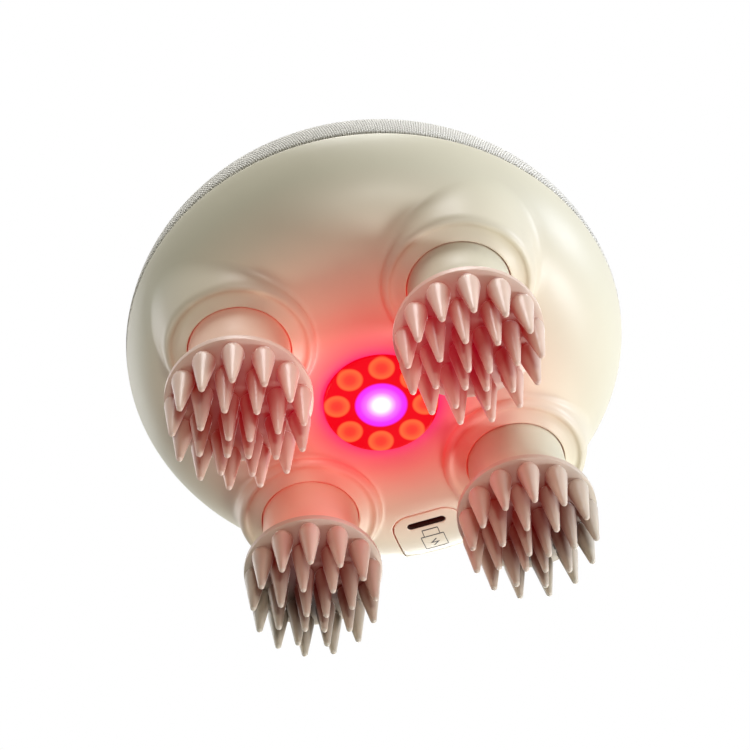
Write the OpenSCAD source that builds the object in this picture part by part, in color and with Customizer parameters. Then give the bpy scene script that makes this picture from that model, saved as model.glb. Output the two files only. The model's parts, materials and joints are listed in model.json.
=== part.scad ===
// Electric scalp massager: a round body with a plastic bowl below, a fabric
// cover over its dome, and four massage heads that a motor turns together.
// The origin is on the surface that the lowest spikes stand on, under the
// middle of the body. +Z is up, and the charging port is towards -Y.

/* [Body] */
// Diameter of the body at the joint of its two shells
body_d = 108; // [106:0.5:112]
// Depth of the bowl below the shell joint
bowl_depth = 17.3; // [16.9:0.1:17.8]
// How full the bowl is: a larger number gives a flatter bottom
bowl_fill = 6.3; // [6:0.1:6.8]
// How the bowl meets the joint: a larger number gives a steeper side
bowl_side = 1.38; // [1.34:0.01:1.42]
// Wall of the two shells
wall_t = 2.2; // [2:0.1:2.4]
// Height of the dome over the shell joint, with its fabric
dome_height = 33.6; // [33.2:0.1:36]
// Roundness of the dome: 2 is an ellipse
dome_round = 2.1; // [2:0.05:2.3]
// Thickness of the fabric cover
fabric_t = 1.0; // [0.8:0.1:1.2]
// How far the fabric stands outside the joint
fabric_proud = 0.2; // [0:0.05:0.4]
// Thickness of the ring in the shell joint
ring_t = 0.4; // [0.3:0.05:0.5]
// Width of the ring in the shell joint
ring_w = 2.3; // [1.8:0.1:2.6]
// How far the ring lies back from the rim
ring_recess = 0.3; // [0.2:0.05:0.5]

/* [Collars] */
// Distance of each massage head's axis from the rim
head_inset = 21.2; // [20.6:0.1:21.6]
// Depth of the collar faces below the shell joint
collar_depth = 19.6; // [19.2:0.1:20]
// Diameter of the hole in each collar
collar_hole_d = 21.4; // [21.3:0.1:21.8]
// Diameter of the raised lip around each collar
collar_lip_d = 28.8; // [28.4:0.1:29.4]
// How far the groove inside the lip lies behind the collar face
groove_rise = 1.3; // [1:0.1:1.5]
// How far the lip lies behind the collar face
lip_rise = 0.6; // [0.4:0.1:0.8]
// Diameter of a collar at its foot
collar_foot_d = 35.6; // [35:0.1:36.4]
// How far a collar's foot lies behind its face
collar_height = 12; // [11.6:0.1:12.4]
// Wall of the well that a neck turns in
well_wall = 2; // [1.8:0.1:2.2]

/* [Massage heads] */
// Diameter of a pad
pad_d = 29; // [28.4:0.1:29.6]
// Crown of the pad's face
pad_crown = 2.2; // [2:0.1:2.4]
// Thickness of the pad's edge
pad_rim_t = 1.3; // [1.1:0.1:1.6]
// Rise of the pad's back from its edge to its lip
pad_back_rise = 2.9; // [2.8:0.1:3.2]
// Diameter of the lip on the pad's back
pad_lip_d = 23.2; // [22.8:0.1:23.8]
// Skin between the pad's face and the neck's foot
pad_skin = 1.5; // [1.3:0.1:1.6]
// Number of spikes in the outer ring
outer_spikes = 13; // [11:1:14]
// Angle of the first outer spike
outer_phase = 104; // [0:1:359]
// How far the outer spikes lean outwards, as an angle
outer_lean = 2.4; // [0:0.2:4]
// Number of spikes in the middle ring
middle_spikes = 8; // [6:1:9]
// Angle of the first middle spike
middle_phase = 90; // [0:1:359]
// Number of spikes in the inner ring
inner_spikes = 4; // [3:1:4]
// Angle of the first inner spike
inner_phase = 68; // [0:1:359]
// Radius of the outer ring of spikes
outer_ring_r = 12.1; // [11.9:0.1:12.3]
// Radius of the middle ring of spikes
middle_ring_r = 7.8; // [7.6:0.1:8]
// Radius of the inner ring of spikes
inner_ring_r = 2.8; // [2.8:0.1:3]
// Length of the outer spikes
outer_spike_l = 11.2; // [10.6:0.1:11.6]
// Length of the middle spikes
middle_spike_l = 12.7; // [12:0.1:13]
// Length of the inner spikes, which stand on the ground
inner_spike_l = 13.5; // [13.4:0.1:14.5]
// Diameter of a spike at its base
spike_base_d = 4.1; // [3.8:0.1:4.3]
// Diameter of a spike's round tip
spike_tip_d = 1.3; // [1.1:0.1:1.6]
// Diameter of a neck
neck_d = 20.8; // [20.5:0.1:20.9]
// Length of a neck between its pad and its collar
neck_length = 13; // [12.6:0.1:13.4]
// Diameter of a neck's flared foot
neck_foot_d = 22.8; // [22.4:0.1:23]
// Height of a neck's flare
flare_height = 6; // [5:0.1:7]
// How far a neck reaches into its well
neck_insert = 3.7; // [3.4:0.1:4]

/* [Gear train] */
// Teeth of the sun gear
sun_teeth = 56; // [52:4:60]
// Teeth of the four head gears
head_teeth = 26; // [25:1:28]
// Teeth of the wheel on the sun gear
wheel_teeth = 33; // [31:1:34]
// Teeth of the small idler gear
idler_small_teeth = 12; // [11:1:13]
// Teeth of the large idler gear
idler_big_teeth = 48; // [46:1:50]
// Teeth of the motor pinion
pinion_teeth = 12; // [11:1:13]
// Thickness of the sun gear and the head gears
gear_t = 4; // [3.6:0.1:4.2]
// Thickness of the wheel on the sun gear
wheel_t = 3.6; // [3.4:0.1:3.8]
// Thickness of the large idler gear and the pinion
fast_gear_t = 2.4; // [2:0.1:2.6]
// Play between two teeth, taken off each of them
backlash = 0.1; // [0.08:0.01:0.14]
// Diameter of the drive shafts
shaft_d = 6; // [5.6:0.1:6.2]
// Diameter of the sun gear's post
post_d = 6; // [5.6:0.1:6.4]
// Diameter of the idler's stud
stud_d = 3; // [2.8:0.1:3.2]
// Length of the bushes without their flange
bush_length = 3.5; // [3.3:0.1:3.8]
// Wall of the bushes
bush_wall = 1; // [0.9:0.05:1.1]
// Thickness of the bushes' flange
bush_flange_t = 0.5; // [0.4:0.05:0.6]
// Thickness of the gear tray
tray_t = 1.6; // [1.5:0.1:1.8]
// Distance of the edge of the gear tray and the top plate from the rim
tray_inset = 13; // [12.5:0.1:13.5]
// Thickness of the top plate
plate_t = 2; // [1.8:0.1:2.2]
// Diameter of the motor
motor_d = 24.4; // [23.6:0.1:25]
// Length of the motor without its bosses
motor_length = 14; // [13:0.1:15]
// Diameter of the motor's shaft
motor_shaft_d = 2; // [1.9:0.05:2.1]

/* [Light] */
// Diameter of the light window
window_d = 24.2; // [23.8:0.1:24.6]
// How far the window stands out of the bowl
window_proud = 0.8; // [0.6:0.1:1]
// Width of the window's flange inside the bowl
window_flange = 1.4; // [1.2:0.1:1.8]
// Number of emitters in the ring
emitter_count = 8; // [6:1:10]
// Radius of the ring of emitters
emitter_ring_r = 9.1; // [8.8:0.1:9.4]
// Angle of the first emitter
emitter_phase = 17; // [0:1:44]
// Diameter of the light board
light_board_d = 38; // [37:0.5:38.4]
// Thickness of the light board
light_board_t = 1.2; // [1:0.1:1.4]

/* [Charging port] */
// Width of the port opening
port_w = 15.8; // [15.4:0.1:16.4]
// Length of the port opening, from its inner to its outer edge
port_length = 16.4; // [16:0.1:16.8]
// Distance of the opening's outer edge from the rim
port_inset = 6.1; // [5.8:0.1:6.2]
// Radius of the opening's inner corners
port_corner_r = 4.2; // [3.6:0.1:4.6]
// Gap around the port cover
port_gap = 0.3; // [0.25:0.05:0.4]
// Thickness of the port cover
cover_t = 1.6; // [1.5:0.1:1.7]
// Length of the fingernail slot in the cover
slot_l = 8.8; // [8:0.1:9.4]
// Width of the fingernail slot
slot_w = 1.9; // [1.6:0.1:2]
// Distance of the slot from the opening's inner edge
slot_inset = 3.5; // [3.3:0.1:3.7]
// Distance of the charging socket from the opening's inner edge
socket_inset = 7.4; // [7.2:0.1:7.6]
// Distance of the hinge pin from the opening's outer edge
hinge_inset = 1.7; // [1.6:0.05:1.8]
// How far the hinge pin lies behind the bowl's face
hinge_behind = 1.8; // [1.75:0.05:1.9]
// Diameter of the hinge pin
hinge_pin_d = 1.2; // [1.1:0.05:1.3]

/* [Power] */
// Diameter of a cell
cell_d = 14; // [13.6:0.1:14.2]
// Length of a cell
cell_length = 50; // [48:0.5:50.5]
// Gap between the motor and the cells' cradle
cradle_gap = 1.2; // [1:0.1:1.6]
// Wall of the cells' cradle
cradle_wall = 1.6; // [1.4:0.1:1.8]
// Diameter of the main board
board_d = 48; // [46:0.5:50]
// Thickness of the main board
board_t = 1.6; // [1.4:0.1:1.8]
// Diameter of the power button
button_d = 16; // [15.6:0.1:16.4]
// How far the power button goes in
button_travel = 0.5; // [0.4:0.05:0.6]
// Height of the button's bezel
bezel_height = 4.2; // [3.8:0.1:4.6]
// How far the bezel stands out of the fabric
bezel_proud = 0.4; // [0.3:0.1:0.6]

/* [Hidden] */
CORNERS = ["rear_right", "rear_left", "front_left", "front_right"];
$fn = 96;

// Colours
shell_colour = [0.93, 0.90, 0.85];
pad_colour = [0.90, 0.86, 0.80];
fabric_colour = [0.87, 0.84, 0.77];
dark_colour = [0.08, 0.08, 0.08];
light_colour = [0.85, 0.05, 0.08];
board_colour = [0.10, 0.40, 0.22];
gear_colour = [0.95, 0.95, 0.92];
frame_colour = [0.75, 0.76, 0.78];
steel_colour = [0.70, 0.71, 0.73];
brass_colour = [0.80, 0.65, 0.30];
cell_colour = [0.20, 0.45, 0.75];

// Clearances and small sizes
eps = 0.01;
past = 1;
run_gap = 0.3;
bearing_gap = 0.04;
seat_gap = 0.1;
screw_gap = 0.2;
profile_steps = 20;
flare_steps = 6;
face_steps = 6;
pressure_angle = 20;
addendum = 0.75;
dedendum = 1.0;

// Radii from the driving diameters
rim_r = body_d / 2;
head_offset = rim_r - head_inset;
pad_r = pad_d / 2;
neck_r = neck_d / 2;
neck_foot_r = neck_foot_d / 2;
well_r = collar_hole_d / 2;
lip_r = collar_lip_d / 2;
collar_foot_r = collar_foot_d / 2;
shaft_r = shaft_d / 2;
cover_r = rim_r + fabric_proud;
upper_r = cover_r - fabric_t;
tray_r = rim_r - tray_inset;
ring_r = rim_r - ring_recess;

// Heights of the heads, from the ground up
function pad_face_z(r) = inner_spike_l + pad_crown * (r * r - inner_ring_r * inner_ring_r) / (pad_r * pad_r);
pad_edge_z = pad_face_z(pad_r) + pad_rim_t;
pad_lip_z = pad_edge_z + pad_back_rise;
foot_inset = 0.2;
foot_r = pad_lip_d / 2 - foot_inset;
foot_t = 1.6;
spike_root = 0.5;
foot_z = pad_face_z(foot_r) + pad_skin;
waist_inset = 2.2;
waist_r = foot_r - waist_inset;
neck_wall = 1.4;
core_wall = 2;
neck_roof = 2;
neck_foot_z = pad_lip_z + run_gap;
collar_z = neck_foot_z + neck_length;
neck_end_z = collar_z + neck_insert;
neck_edge = 0.4;
shaft_foot_rise = 5;
shaft_foot_z = neck_foot_z + shaft_foot_rise;

// Heights of the body
joint_z = collar_z + collar_depth;
bowl_bottom_z = joint_z - bowl_depth;
bowl_floor_z = bowl_bottom_z + wall_t;
window_z = bowl_bottom_z - window_proud;
dome_z = joint_z + ring_t;
dome_top_z = dome_z + dome_height;

// Screws and the sizes of their heads
screw_r = 1.25;
screw_head_r = 2.5;
screw_head_t = 1.6;
small_screw_r = 1;
small_head_r = 2;
small_head_t = 0.9;
small_bite = 3;
small_screw_bite = small_bite - screw_gap;

// Heights of the light
window_r = window_d / 2;
window_t = 1.4;
window_wall = 1.6;
window_flange_t = 0.6;
window_seat_z = bowl_z(window_r + window_flange, wall_t) + eps;
emitter_t = 0.9;
emitter_l = 2.8;
emitter_w = 3.5;
centre_w = 5;
centre_rise = 0.2;
light_board_z = bowl_floor_z + window_flange_t + emitter_t + seat_gap;
light_top_z = light_board_z + light_board_t + small_head_t;

// Heights of the bearings and the gear train
web_t = 2;
web_gap = 0.5;
web_z = neck_end_z + web_gap;
seal_t = 1.5;
bush_z = web_z + web_t;
boss_top_z = bush_z + bush_length;
washer_t = 0.5;
washer_w = 3;
// The tray lies over the light board's screws, and the gears lie over the bushes
tray_top_z = max(light_top_z + seat_gap + tray_t,
                 boss_top_z + bush_flange_t + run_gap - washer_t - seat_gap);
tray_z = tray_top_z - tray_t;
gear_z = tray_top_z + washer_t + seat_gap;
gear_top_z = gear_z + gear_t;
wheel_top_z = gear_top_z + wheel_t;
level_gap = 0.4;
idler_z = gear_top_z + level_gap;
fast_z = wheel_top_z + level_gap;
fast_top_z = fast_z + fast_gear_t;
plate_gap = 0.8;
plate_z = fast_top_z + plate_gap;
plate_top_z = plate_z + plate_t;
hub_t = 0.6;
hub_r = shaft_r + 2;
upper_boss_z = gear_top_z + hub_t + run_gap + bush_flange_t;
shaft_top_z = upper_boss_z + bush_length - run_gap;

// Sizes of the gear train
function pitch_r(teeth, size) = teeth * size / 2;
// The tooth sizes follow the distances between the gears' axes
mesh_module = 2 * head_offset / (sun_teeth + head_teeth);
sun_tip_r = pitch_r(sun_teeth, mesh_module) + addendum * mesh_module;
idler_distance = pitch_r(wheel_teeth + idler_small_teeth, mesh_module);
fast_mesh_module = 2 * idler_distance / (idler_big_teeth + pinion_teeth);
bush_r = shaft_r + bush_wall;
bush_flange_r = bush_r + 1;
boss_r = bush_r + 1.5;
boss_clear = 0.5;
upper_boss_r = boss_r + 0.5;
seal_gap = 0.05;
post_r = post_d / 2;
post_head_r = post_r + 1.2;
post_head_t = 0.6;
stud_r = stud_d / 2;
stud_head_r = stud_r + 0.9;
stud_head_t = 0.8;
spoke_hole_r = 2.2;
spoke_gap = 2;
spoke_hole_ring = pitch_r(wheel_teeth, mesh_module) + spoke_hole_r + spoke_gap;

// Places around the middle
function head_angle(k) = 45 + 90 * k;
function polar(r, a) = [r * cos(a), r * sin(a)];
function head_xy(k) = polar(head_offset, head_angle(k));

// The posts that the screws go in
shell_boss_r = 3.2;
upper_boss_wall = 1;
shell_boss_ring = rim_r - 7.5;
SHELL_BOSSES = [for (a = [20 : 90 : 290]) polar(shell_boss_ring, a)];
shell_screw_bite = 7;
screw_seat_z = dome_z + 5;
pillar_r = 2.6;
pillar_gap = 1.4;
side_pillar_x = tray_r - pillar_r - 0.4;
mid_pillar_y = sun_tip_r + pillar_gap + pillar_r;
PILLARS = [[side_pillar_x, 0], [-side_pillar_x, 0], [0, mid_pillar_y], [0, -mid_pillar_y]];
plate_screw_bite = 6;
tray_boss_r = 2.8;
tray_boss_inset = 4;
tray_boss_y = 9.5;
TRAY_BOSSES = [for (x = [-1, 1], y = [-1, 1]) [x * (tray_r - tray_boss_inset), y * tray_boss_y]];
light_boss_r = 2.4;
light_bite = 2.4;
light_boss_ring = light_board_d / 2 - 2.6;
LIGHT_BOSSES = [for (a = [0, 90, 180]) polar(light_boss_ring, a)];
cable_hole_r = 3;
cable_hole_x = 30;
tray_slot_gap = 0.4;

// Charging port
port_outer_y = rim_r - port_inset;
port_inner_y = port_outer_y - port_length;
port_half = port_w / 2;
port_wall = 1.7;
port_edge_wall = 1.2;
port_floor_t = 1.5;
port_recess = 6;
port_floor_z = bowl_bottom_z + port_recess;
slot_y = port_inner_y + slot_inset;
hinge_y = port_outer_y - hinge_inset;
hinge_z = bowl_z(hinge_y, 0) + hinge_behind;
hinge_room_y = port_outer_y - 4.9;
hinge_ceiling_z = hinge_z + 2.2;
hinge_pin_r = hinge_pin_d / 2;
knuckle_r = 1.3;
knuckle_l = 2.6;
pin_bite = 1;
cover_outer_y = port_outer_y - 0.9;
cover_half = port_half - port_gap;
block_half = port_half + port_wall;
socket_y = port_inner_y + socket_inset;
socket_w = 8.94;
socket_h = 3.26;
socket_sheet = 0.3;
socket_length = 7.4;
socket_back_t = 0.6;
tongue_inset = 0.8;
socket_z = port_floor_z - 1;
socket_top_z = socket_z + socket_length;
socket_boss_r = 1.8;
tongue_w = 6.7;
tongue_t = 0.7;
tongue_base_t = 2;
socket_board_w = 18;
socket_board_l = 11;
socket_board_t = 1.2;
socket_screw_x = 7;
seal_grow_x = 3;
seal_grow_y = 1.4;

// Motor and cells
motor_r = motor_d / 2;
motor_top_z = plate_top_z + motor_length;
motor_boss_r = 3.4;
motor_boss_t = 1.6;
motor_screw_y = 8.5;
motor_screw_bite = 3.2;
motor_bore = 8;
motor_bore_gap = 0.7;
shaft_tip = 0.2;
terminal_x = 8;
terminal_w = 2;
terminal_t = 0.5;
terminal_l = 1.2;
cell_r = cell_d / 2;
cell_offset = motor_r + cradle_gap + cradle_wall + cell_r;
cell_lift = 1.7;
cell_z = plate_top_z + cell_lift + cell_r;
cell_nub_r = 2.75;
cell_nub_l = 1;
link_t = 0.3;
link_w = 5;
cell_seat_gap = 0.05;
saddle_w = 8;
saddle_x = motor_r + saddle_w / 2 + 0.8;
saddle_floor_t = 1.4;
tie_w = 3;
tie_t = 1.2;
tie_inset = 3;
cradle_screw_y = cell_offset - cell_r - cradle_wall - 3.9;

// Main board, switch and button
motor_rear_t = 1.4;
board_gap = 1.2;
cell_gap = 0.9;
board_z = max(motor_top_z + motor_rear_t + board_gap, cell_z + cell_r + cell_gap);
board_top_z = board_z + board_t;
board_post_ring = board_d / 2 - 3;
BOARD_POSTS = [for (a = [45 : 90 : 315]) polar(board_post_ring, a)];
board_post_r = 2.6;
switch_w = 6;
switch_t = 2.6;
switch_floor_t = 0.8;
// Each chip's and plug socket's corner on the board, then its width, length and height
CHIPS = [[-3.5, 8.5, 7, 7, 1], [-12, -4, 4, 5, 1.2], [9, 1, 3.2, 3.2, 1.1]];
PLUG_SOCKETS = [[-7, -16, 6, 4, 3], [1, -16, 6, 4, 3]];
plunger_r = 1.7;
plunger_rise = 1;
button_r = button_d / 2;
button_gap = 0.2;
bezel_wall = 1;
bezel_r = button_r + button_gap + bezel_wall;
bezel_flange = 1.8;
bezel_top_z = dome_top_z + bezel_proud;
bezel_flange_gap = 0.05;
bezel_flange_z = dome_at(bezel_r, cover_r, dome_height) + bezel_flange_gap;
bezel_z = bezel_top_z - bezel_height;
button_flange_t = 0.9;
button_flange_z = bezel_z - seat_gap - button_flange_t;
button_top_z = bezel_top_z + 0.2;
button_cap_t = 2.4;
button_skirt = 1.2;
fabric_hole_gap = 0.4;
fabric_gap = 0.04;
stem_r = 2;
stem_z = board_top_z + switch_t + plunger_rise;

// Height of the bowl's outer face at a radius, with the bowl inset by t
function bowl_z(r, t) =
    joint_z - (bowl_depth - t) * pow(max(0, 1 - pow(r / (rim_r - t), bowl_fill)), 1 / bowl_side);
// Height of the dome at a radius, for a dome of its own radius and height
function dome_at(r, radius, height) =
    dome_z + height * pow(max(0, 1 - pow(r / radius, dome_round)), 1 / dome_round);
// Radii that lie closer together towards the rim
function rim_steps(radius) = [for (i = [0 : profile_steps]) radius * sin(90 * i / profile_steps)];

// Half the angle of a tooth at radius r on an involute gear
function involute(a) = tan(a) * 180 / PI - a;
function tooth_half(teeth, size, r) =
    let (rp = pitch_r(teeth, size), rb = rp * cos(pressure_angle))
    90 / teeth - backlash / (2 * rp) * 180 / PI + involute(pressure_angle)
        - (r > rb ? involute(acos(rb / r)) : 0);
function gear_points(teeth, size) =
    let (rp = pitch_r(teeth, size), rb = rp * cos(pressure_angle), root = rp - dedendum * size,
         tip = rp + addendum * size, low = max(rb, root), steps = 4,
         flank = concat(root < rb ? [root] : [], [for (i = [0 : steps]) low + (tip - low) * i / steps]))
    [for (tooth = [0 : teeth - 1], side = [-1, 1], i = [0 : len(flank) - 1])
        let (r = flank[side < 0 ? i : len(flank) - 1 - i])
        polar(r, 360 * tooth / teeth + side * tooth_half(teeth, size, r))];

// Outline of a slot with round ends along X
function slot_points(length, width) =
    [for (side = [1, -1], i = [0 : 12])
        [side * (length - width) / 2, 0] + polar(width / 2, (side > 0 ? -90 : 90) + 15 * i)];
// Outline of the port: its inner corners are round, its outer ones square
function port_points(half, inner_y, outer_y, corner) = concat(
    [[-half, -outer_y], [half, -outer_y]],
    [for (i = [0 : 8]) [half - corner, -inner_y - corner] + polar(corner, 11.25 * i)],
    [for (i = [0 : 8]) [corner - half, -inner_y - corner] + polar(corner, 90 + 11.25 * i)]);

module at_head(k) {
    translate(head_xy(k)) children();
}

module ring(outer, inner, height) {
    difference() {
        cylinder(r = outer, h = height);
        translate([0, 0, -1]) cylinder(r = inner, h = height + 2);
    }
}

module gear(teeth, size, thickness) {
    linear_extrude(thickness) polygon(gear_points(teeth, size));
}

module screw(head_r, head_t, shank_r, shank_l) {
    translate([0, 0, -shank_l]) cylinder(r = shank_r, h = shank_l);
    difference() {
        cylinder(r = head_r, h = head_t);
        for (a = [0, 90]) rotate(a) translate([-head_r * 0.6, -0.25, head_t * 0.5])
            cube([head_r * 1.2, 0.5, head_t]);
    }
}

// The bowl as a solid, inset by t on every side
module bowl(t) {
    rotate_extrude() polygon(concat(
        [for (r = rim_steps(rim_r - t)) [r, bowl_z(r, t)]],
        [[0, joint_z]]));
}

module dome(radius, height) {
    rotate_extrude() polygon(concat(
        [[0, dome_z]],
        [for (i = [profile_steps : -1 : 0])
            let (r = rim_steps(radius)[i]) [r, dome_at(r, radius, height)]]));
}

module collar_outside() {
    rotate_extrude() polygon([
        [0, collar_z], [well_r + 0.2, collar_z],
        [lip_r - 1.1, collar_z + groove_rise], [lip_r - 0.5, collar_z + lip_rise + 0.1],
        [lip_r, collar_z + lip_rise], [lip_r + 0.6, collar_z + lip_rise + 0.3],
        [lip_r + 1, collar_z + lip_rise + 1],
        [collar_foot_r, collar_z + collar_height], [0, collar_z + collar_height]]);
}

// The hollow behind a collar's wall, around the neck's well
module collar_hollow() {
    rotate_extrude() polygon([
        [0, bowl_floor_z + run_gap], [lip_r - 0.8, bowl_floor_z + run_gap],
        [collar_foot_r - wall_t, collar_z + collar_height],
        [collar_foot_r - wall_t, joint_z], [0, joint_z]]);
}

module head_well() {
    well_z = collar_z + groove_rise;
    translate([0, 0, well_z]) cylinder(r = well_r + well_wall, h = bush_z - well_z);
    translate([0, 0, bush_z - past]) cylinder(r = boss_r, h = bush_length + past);
}

module head_well_cuts() {
    translate([0, 0, collar_z - past]) cylinder(r = well_r, h = web_z - collar_z + past);
    translate([0, 0, web_z - past]) cylinder(r = bush_flange_r, h = seal_t + past);
    translate([0, 0, web_z]) cylinder(r = shaft_r + run_gap, h = web_t + past);
    translate([0, 0, bush_z]) cylinder(r = bush_r, h = bush_length + past);
}

module port_block() {
    bottom_z = bowl_bottom_z - past;
    difference() {
        translate([-block_half, -port_outer_y - 2, bottom_z])
            cube([2 * block_half, port_length + port_edge_wall + 2,
                  hinge_ceiling_z + port_floor_t - bottom_z]);
        translate([-block_half - past, -hinge_room_y - port_floor_t, port_floor_z + port_floor_t])
            cube([2 * (block_half + past), hinge_room_y, bowl_depth]);
    }
    for (x = [-1, 1]) translate([x * socket_screw_x, -socket_y, port_floor_z + port_floor_t / 2])
        cylinder(r = socket_boss_r, h = socket_top_z - port_floor_z - port_floor_t / 2);
}

module port_cuts() {
    outline = port_points(port_half, port_inner_y, port_outer_y, port_corner_r);
    translate([0, 0, bowl_bottom_z - past]) linear_extrude(port_recess + past) polygon(outline);
    intersection() {
        translate([0, 0, port_floor_z - past]) linear_extrude(hinge_ceiling_z - port_floor_z + past)
            polygon(outline);
        translate([-rim_r, -hinge_room_y - rim_r, 0]) cube([2 * rim_r, rim_r, joint_z]);
    }
    translate([0, -socket_y, port_floor_z - past]) linear_extrude(port_floor_t + 2 * past)
        polygon(slot_points(socket_w + run_gap, socket_h + run_gap));
    for (x = [-1, 1]) translate([x * socket_screw_x, -socket_y, socket_top_z - small_bite])
        cylinder(r = small_screw_r, h = small_bite + past);
    translate([-port_half - past, -hinge_y, hinge_z]) rotate([0, 90, 0])
        cylinder(r = hinge_pin_r, h = port_w + 2 * past);
}

module lower_shell() {
    color(shell_colour) difference() {
        union() {
            difference() {
                union() {
                    bowl(0);
                    for (k = [0 : 3]) at_head(k) intersection() {
                        collar_outside();
                        translate([0, 0, collar_z - past]) cylinder(r = collar_foot_d, h = collar_height);
                    }
                }
                bowl(wall_t);
                for (k = [0 : 3]) at_head(k) collar_hollow();
            }
            for (k = [0 : 3]) at_head(k) head_well();
            intersection() {
                union() {
                    for (p = SHELL_BOSSES) translate([p.x, p.y, bowl_bottom_z])
                        cylinder(r = shell_boss_r, h = bowl_depth - seat_gap);
                    for (p = TRAY_BOSSES) translate([p.x, p.y, bowl_bottom_z])
                        cylinder(r = tray_boss_r, h = tray_z - bowl_bottom_z);
                    for (p = LIGHT_BOSSES) translate([p.x, p.y, bowl_bottom_z])
                        cylinder(r = light_boss_r, h = light_board_z - bowl_bottom_z);
                    port_block();
                }
                bowl(wall_t * 0.4);
            }
        }
        for (k = [0 : 3]) at_head(k) head_well_cuts();
        translate([0, 0, window_z - past]) cylinder(r = window_r + seat_gap, h = light_board_z - window_z);
        for (p = SHELL_BOSSES) translate([p.x, p.y, joint_z - shell_screw_bite - past])
            cylinder(r = screw_r, h = shell_screw_bite + 2 * past);
        for (p = TRAY_BOSSES) translate([p.x, p.y, tray_z - small_bite])
            cylinder(r = small_screw_r, h = small_bite + past);
        for (p = LIGHT_BOSSES) translate([p.x, p.y, light_board_z - light_bite])
            cylinder(r = small_screw_r, h = light_bite + past);
        port_cuts();
    }
}

module upper_shell() {
    inner_h = dome_height - fabric_t - wall_t;
    color(shell_colour) difference() {
        union() {
            difference() {
                dome(upper_r, dome_height - fabric_t);
                dome(upper_r - wall_t, inner_h);
            }
            intersection() {
                union() {
                    for (p = SHELL_BOSSES) translate([p.x, p.y, dome_z])
                        cylinder(r = shell_boss_r + upper_boss_wall, h = dome_height);
                    for (p = BOARD_POSTS) translate([p.x, p.y, board_top_z])
                        cylinder(r = board_post_r, h = dome_height);
                }
                dome(upper_r - wall_t * 0.6, dome_height - fabric_t - wall_t * 0.6);
            }
        }
        for (p = SHELL_BOSSES) translate([p.x, p.y, 0]) {
            translate([0, 0, dome_z - past])
                cylinder(r = screw_r + screw_gap, h = screw_seat_z - dome_z + 2 * past);
            translate([0, 0, screw_seat_z]) cylinder(r = screw_head_r + 2 * screw_gap, h = dome_height);
        }
        for (p = BOARD_POSTS) translate([p.x, p.y, board_top_z - past])
            cylinder(r = small_screw_r, h = small_bite + past);
        translate([0, 0, board_top_z]) cylinder(r = bezel_r + seat_gap, h = dome_height);
    }
}

module fabric_cover() {
    color(fabric_colour) difference() {
        dome(cover_r, dome_height);
        dome(upper_r + fabric_gap, dome_height - fabric_t + fabric_gap);
        translate([0, 0, board_top_z]) cylinder(r = bezel_r + fabric_hole_gap, h = dome_height);
    }
}

module joint_ring() {
    color(dark_colour) difference() {
        translate([0, 0, joint_z]) ring(ring_r, ring_r - ring_w, ring_t);
        for (p = SHELL_BOSSES) translate([p.x, p.y, joint_z - past])
            cylinder(r = screw_r + screw_gap, h = ring_t + 2 * past);
    }
}

module light_window() {
    color(light_colour) rotate_extrude() polygon([
        [0, window_z], [window_r - 0.8, window_z], [window_r - 0.25, window_z + 0.25],
        [window_r, window_z + 0.8], [window_r, window_seat_z],
        [window_r + window_flange, window_seat_z],
        [window_r + window_flange, window_seat_z + window_flange_t],
        [window_r - window_wall, window_seat_z + window_flange_t],
        [window_r - window_wall, window_z + window_t], [0, window_z + window_t]]);
}

module light_board() {
    color(board_colour) difference() {
        translate([0, 0, light_board_z]) cylinder(r = light_board_d / 2, h = light_board_t);
        for (p = LIGHT_BOSSES) translate([p.x, p.y, light_board_z - past])
            cylinder(r = small_screw_r + screw_gap, h = light_board_t + 2 * past);
    }
}

module emitters() {
    color("white") for (i = [0 : emitter_count - 1])
        rotate(emitter_phase + 360 * i / emitter_count)
            translate([emitter_ring_r - emitter_l / 2, -emitter_w / 2, light_board_z - emitter_t])
                cube([emitter_l, emitter_w, emitter_t]);
    color("violet") translate([-centre_w / 2, -centre_w / 2, light_board_z - emitter_t - centre_rise])
        cube([centre_w, centre_w, emitter_t + centre_rise]);
}

module gear_tray() {
    color(frame_colour) difference() {
        union() {
            translate([0, 0, tray_z]) cylinder(r = tray_r, h = tray_t);
            for (p = PILLARS) translate([p.x, p.y, tray_z]) cylinder(r = pillar_r, h = plate_z - tray_z);
        }
        for (k = [0 : 3]) at_head(k) translate([0, 0, tray_z - past])
            cylinder(r = boss_r + boss_clear, h = tray_t + 2 * past);
        for (p = TRAY_BOSSES) translate([p.x, p.y, tray_z - past])
            cylinder(r = small_screw_r + screw_gap, h = tray_t + 2 * past);
        for (p = PILLARS) translate([p.x, p.y, plate_z - plate_screw_bite - past])
            cylinder(r = small_screw_r, h = plate_screw_bite + 2 * past);
        translate([0, 0, tray_z - past]) cylinder(r = post_r, h = tray_t + 2 * past);
        translate([-block_half - tray_slot_gap, -rim_r, tray_z - past])
            cube([2 * (block_half + tray_slot_gap),
                  rim_r - port_inner_y + port_edge_wall + tray_slot_gap, tray_t + 2 * past]);
    }
}

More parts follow.
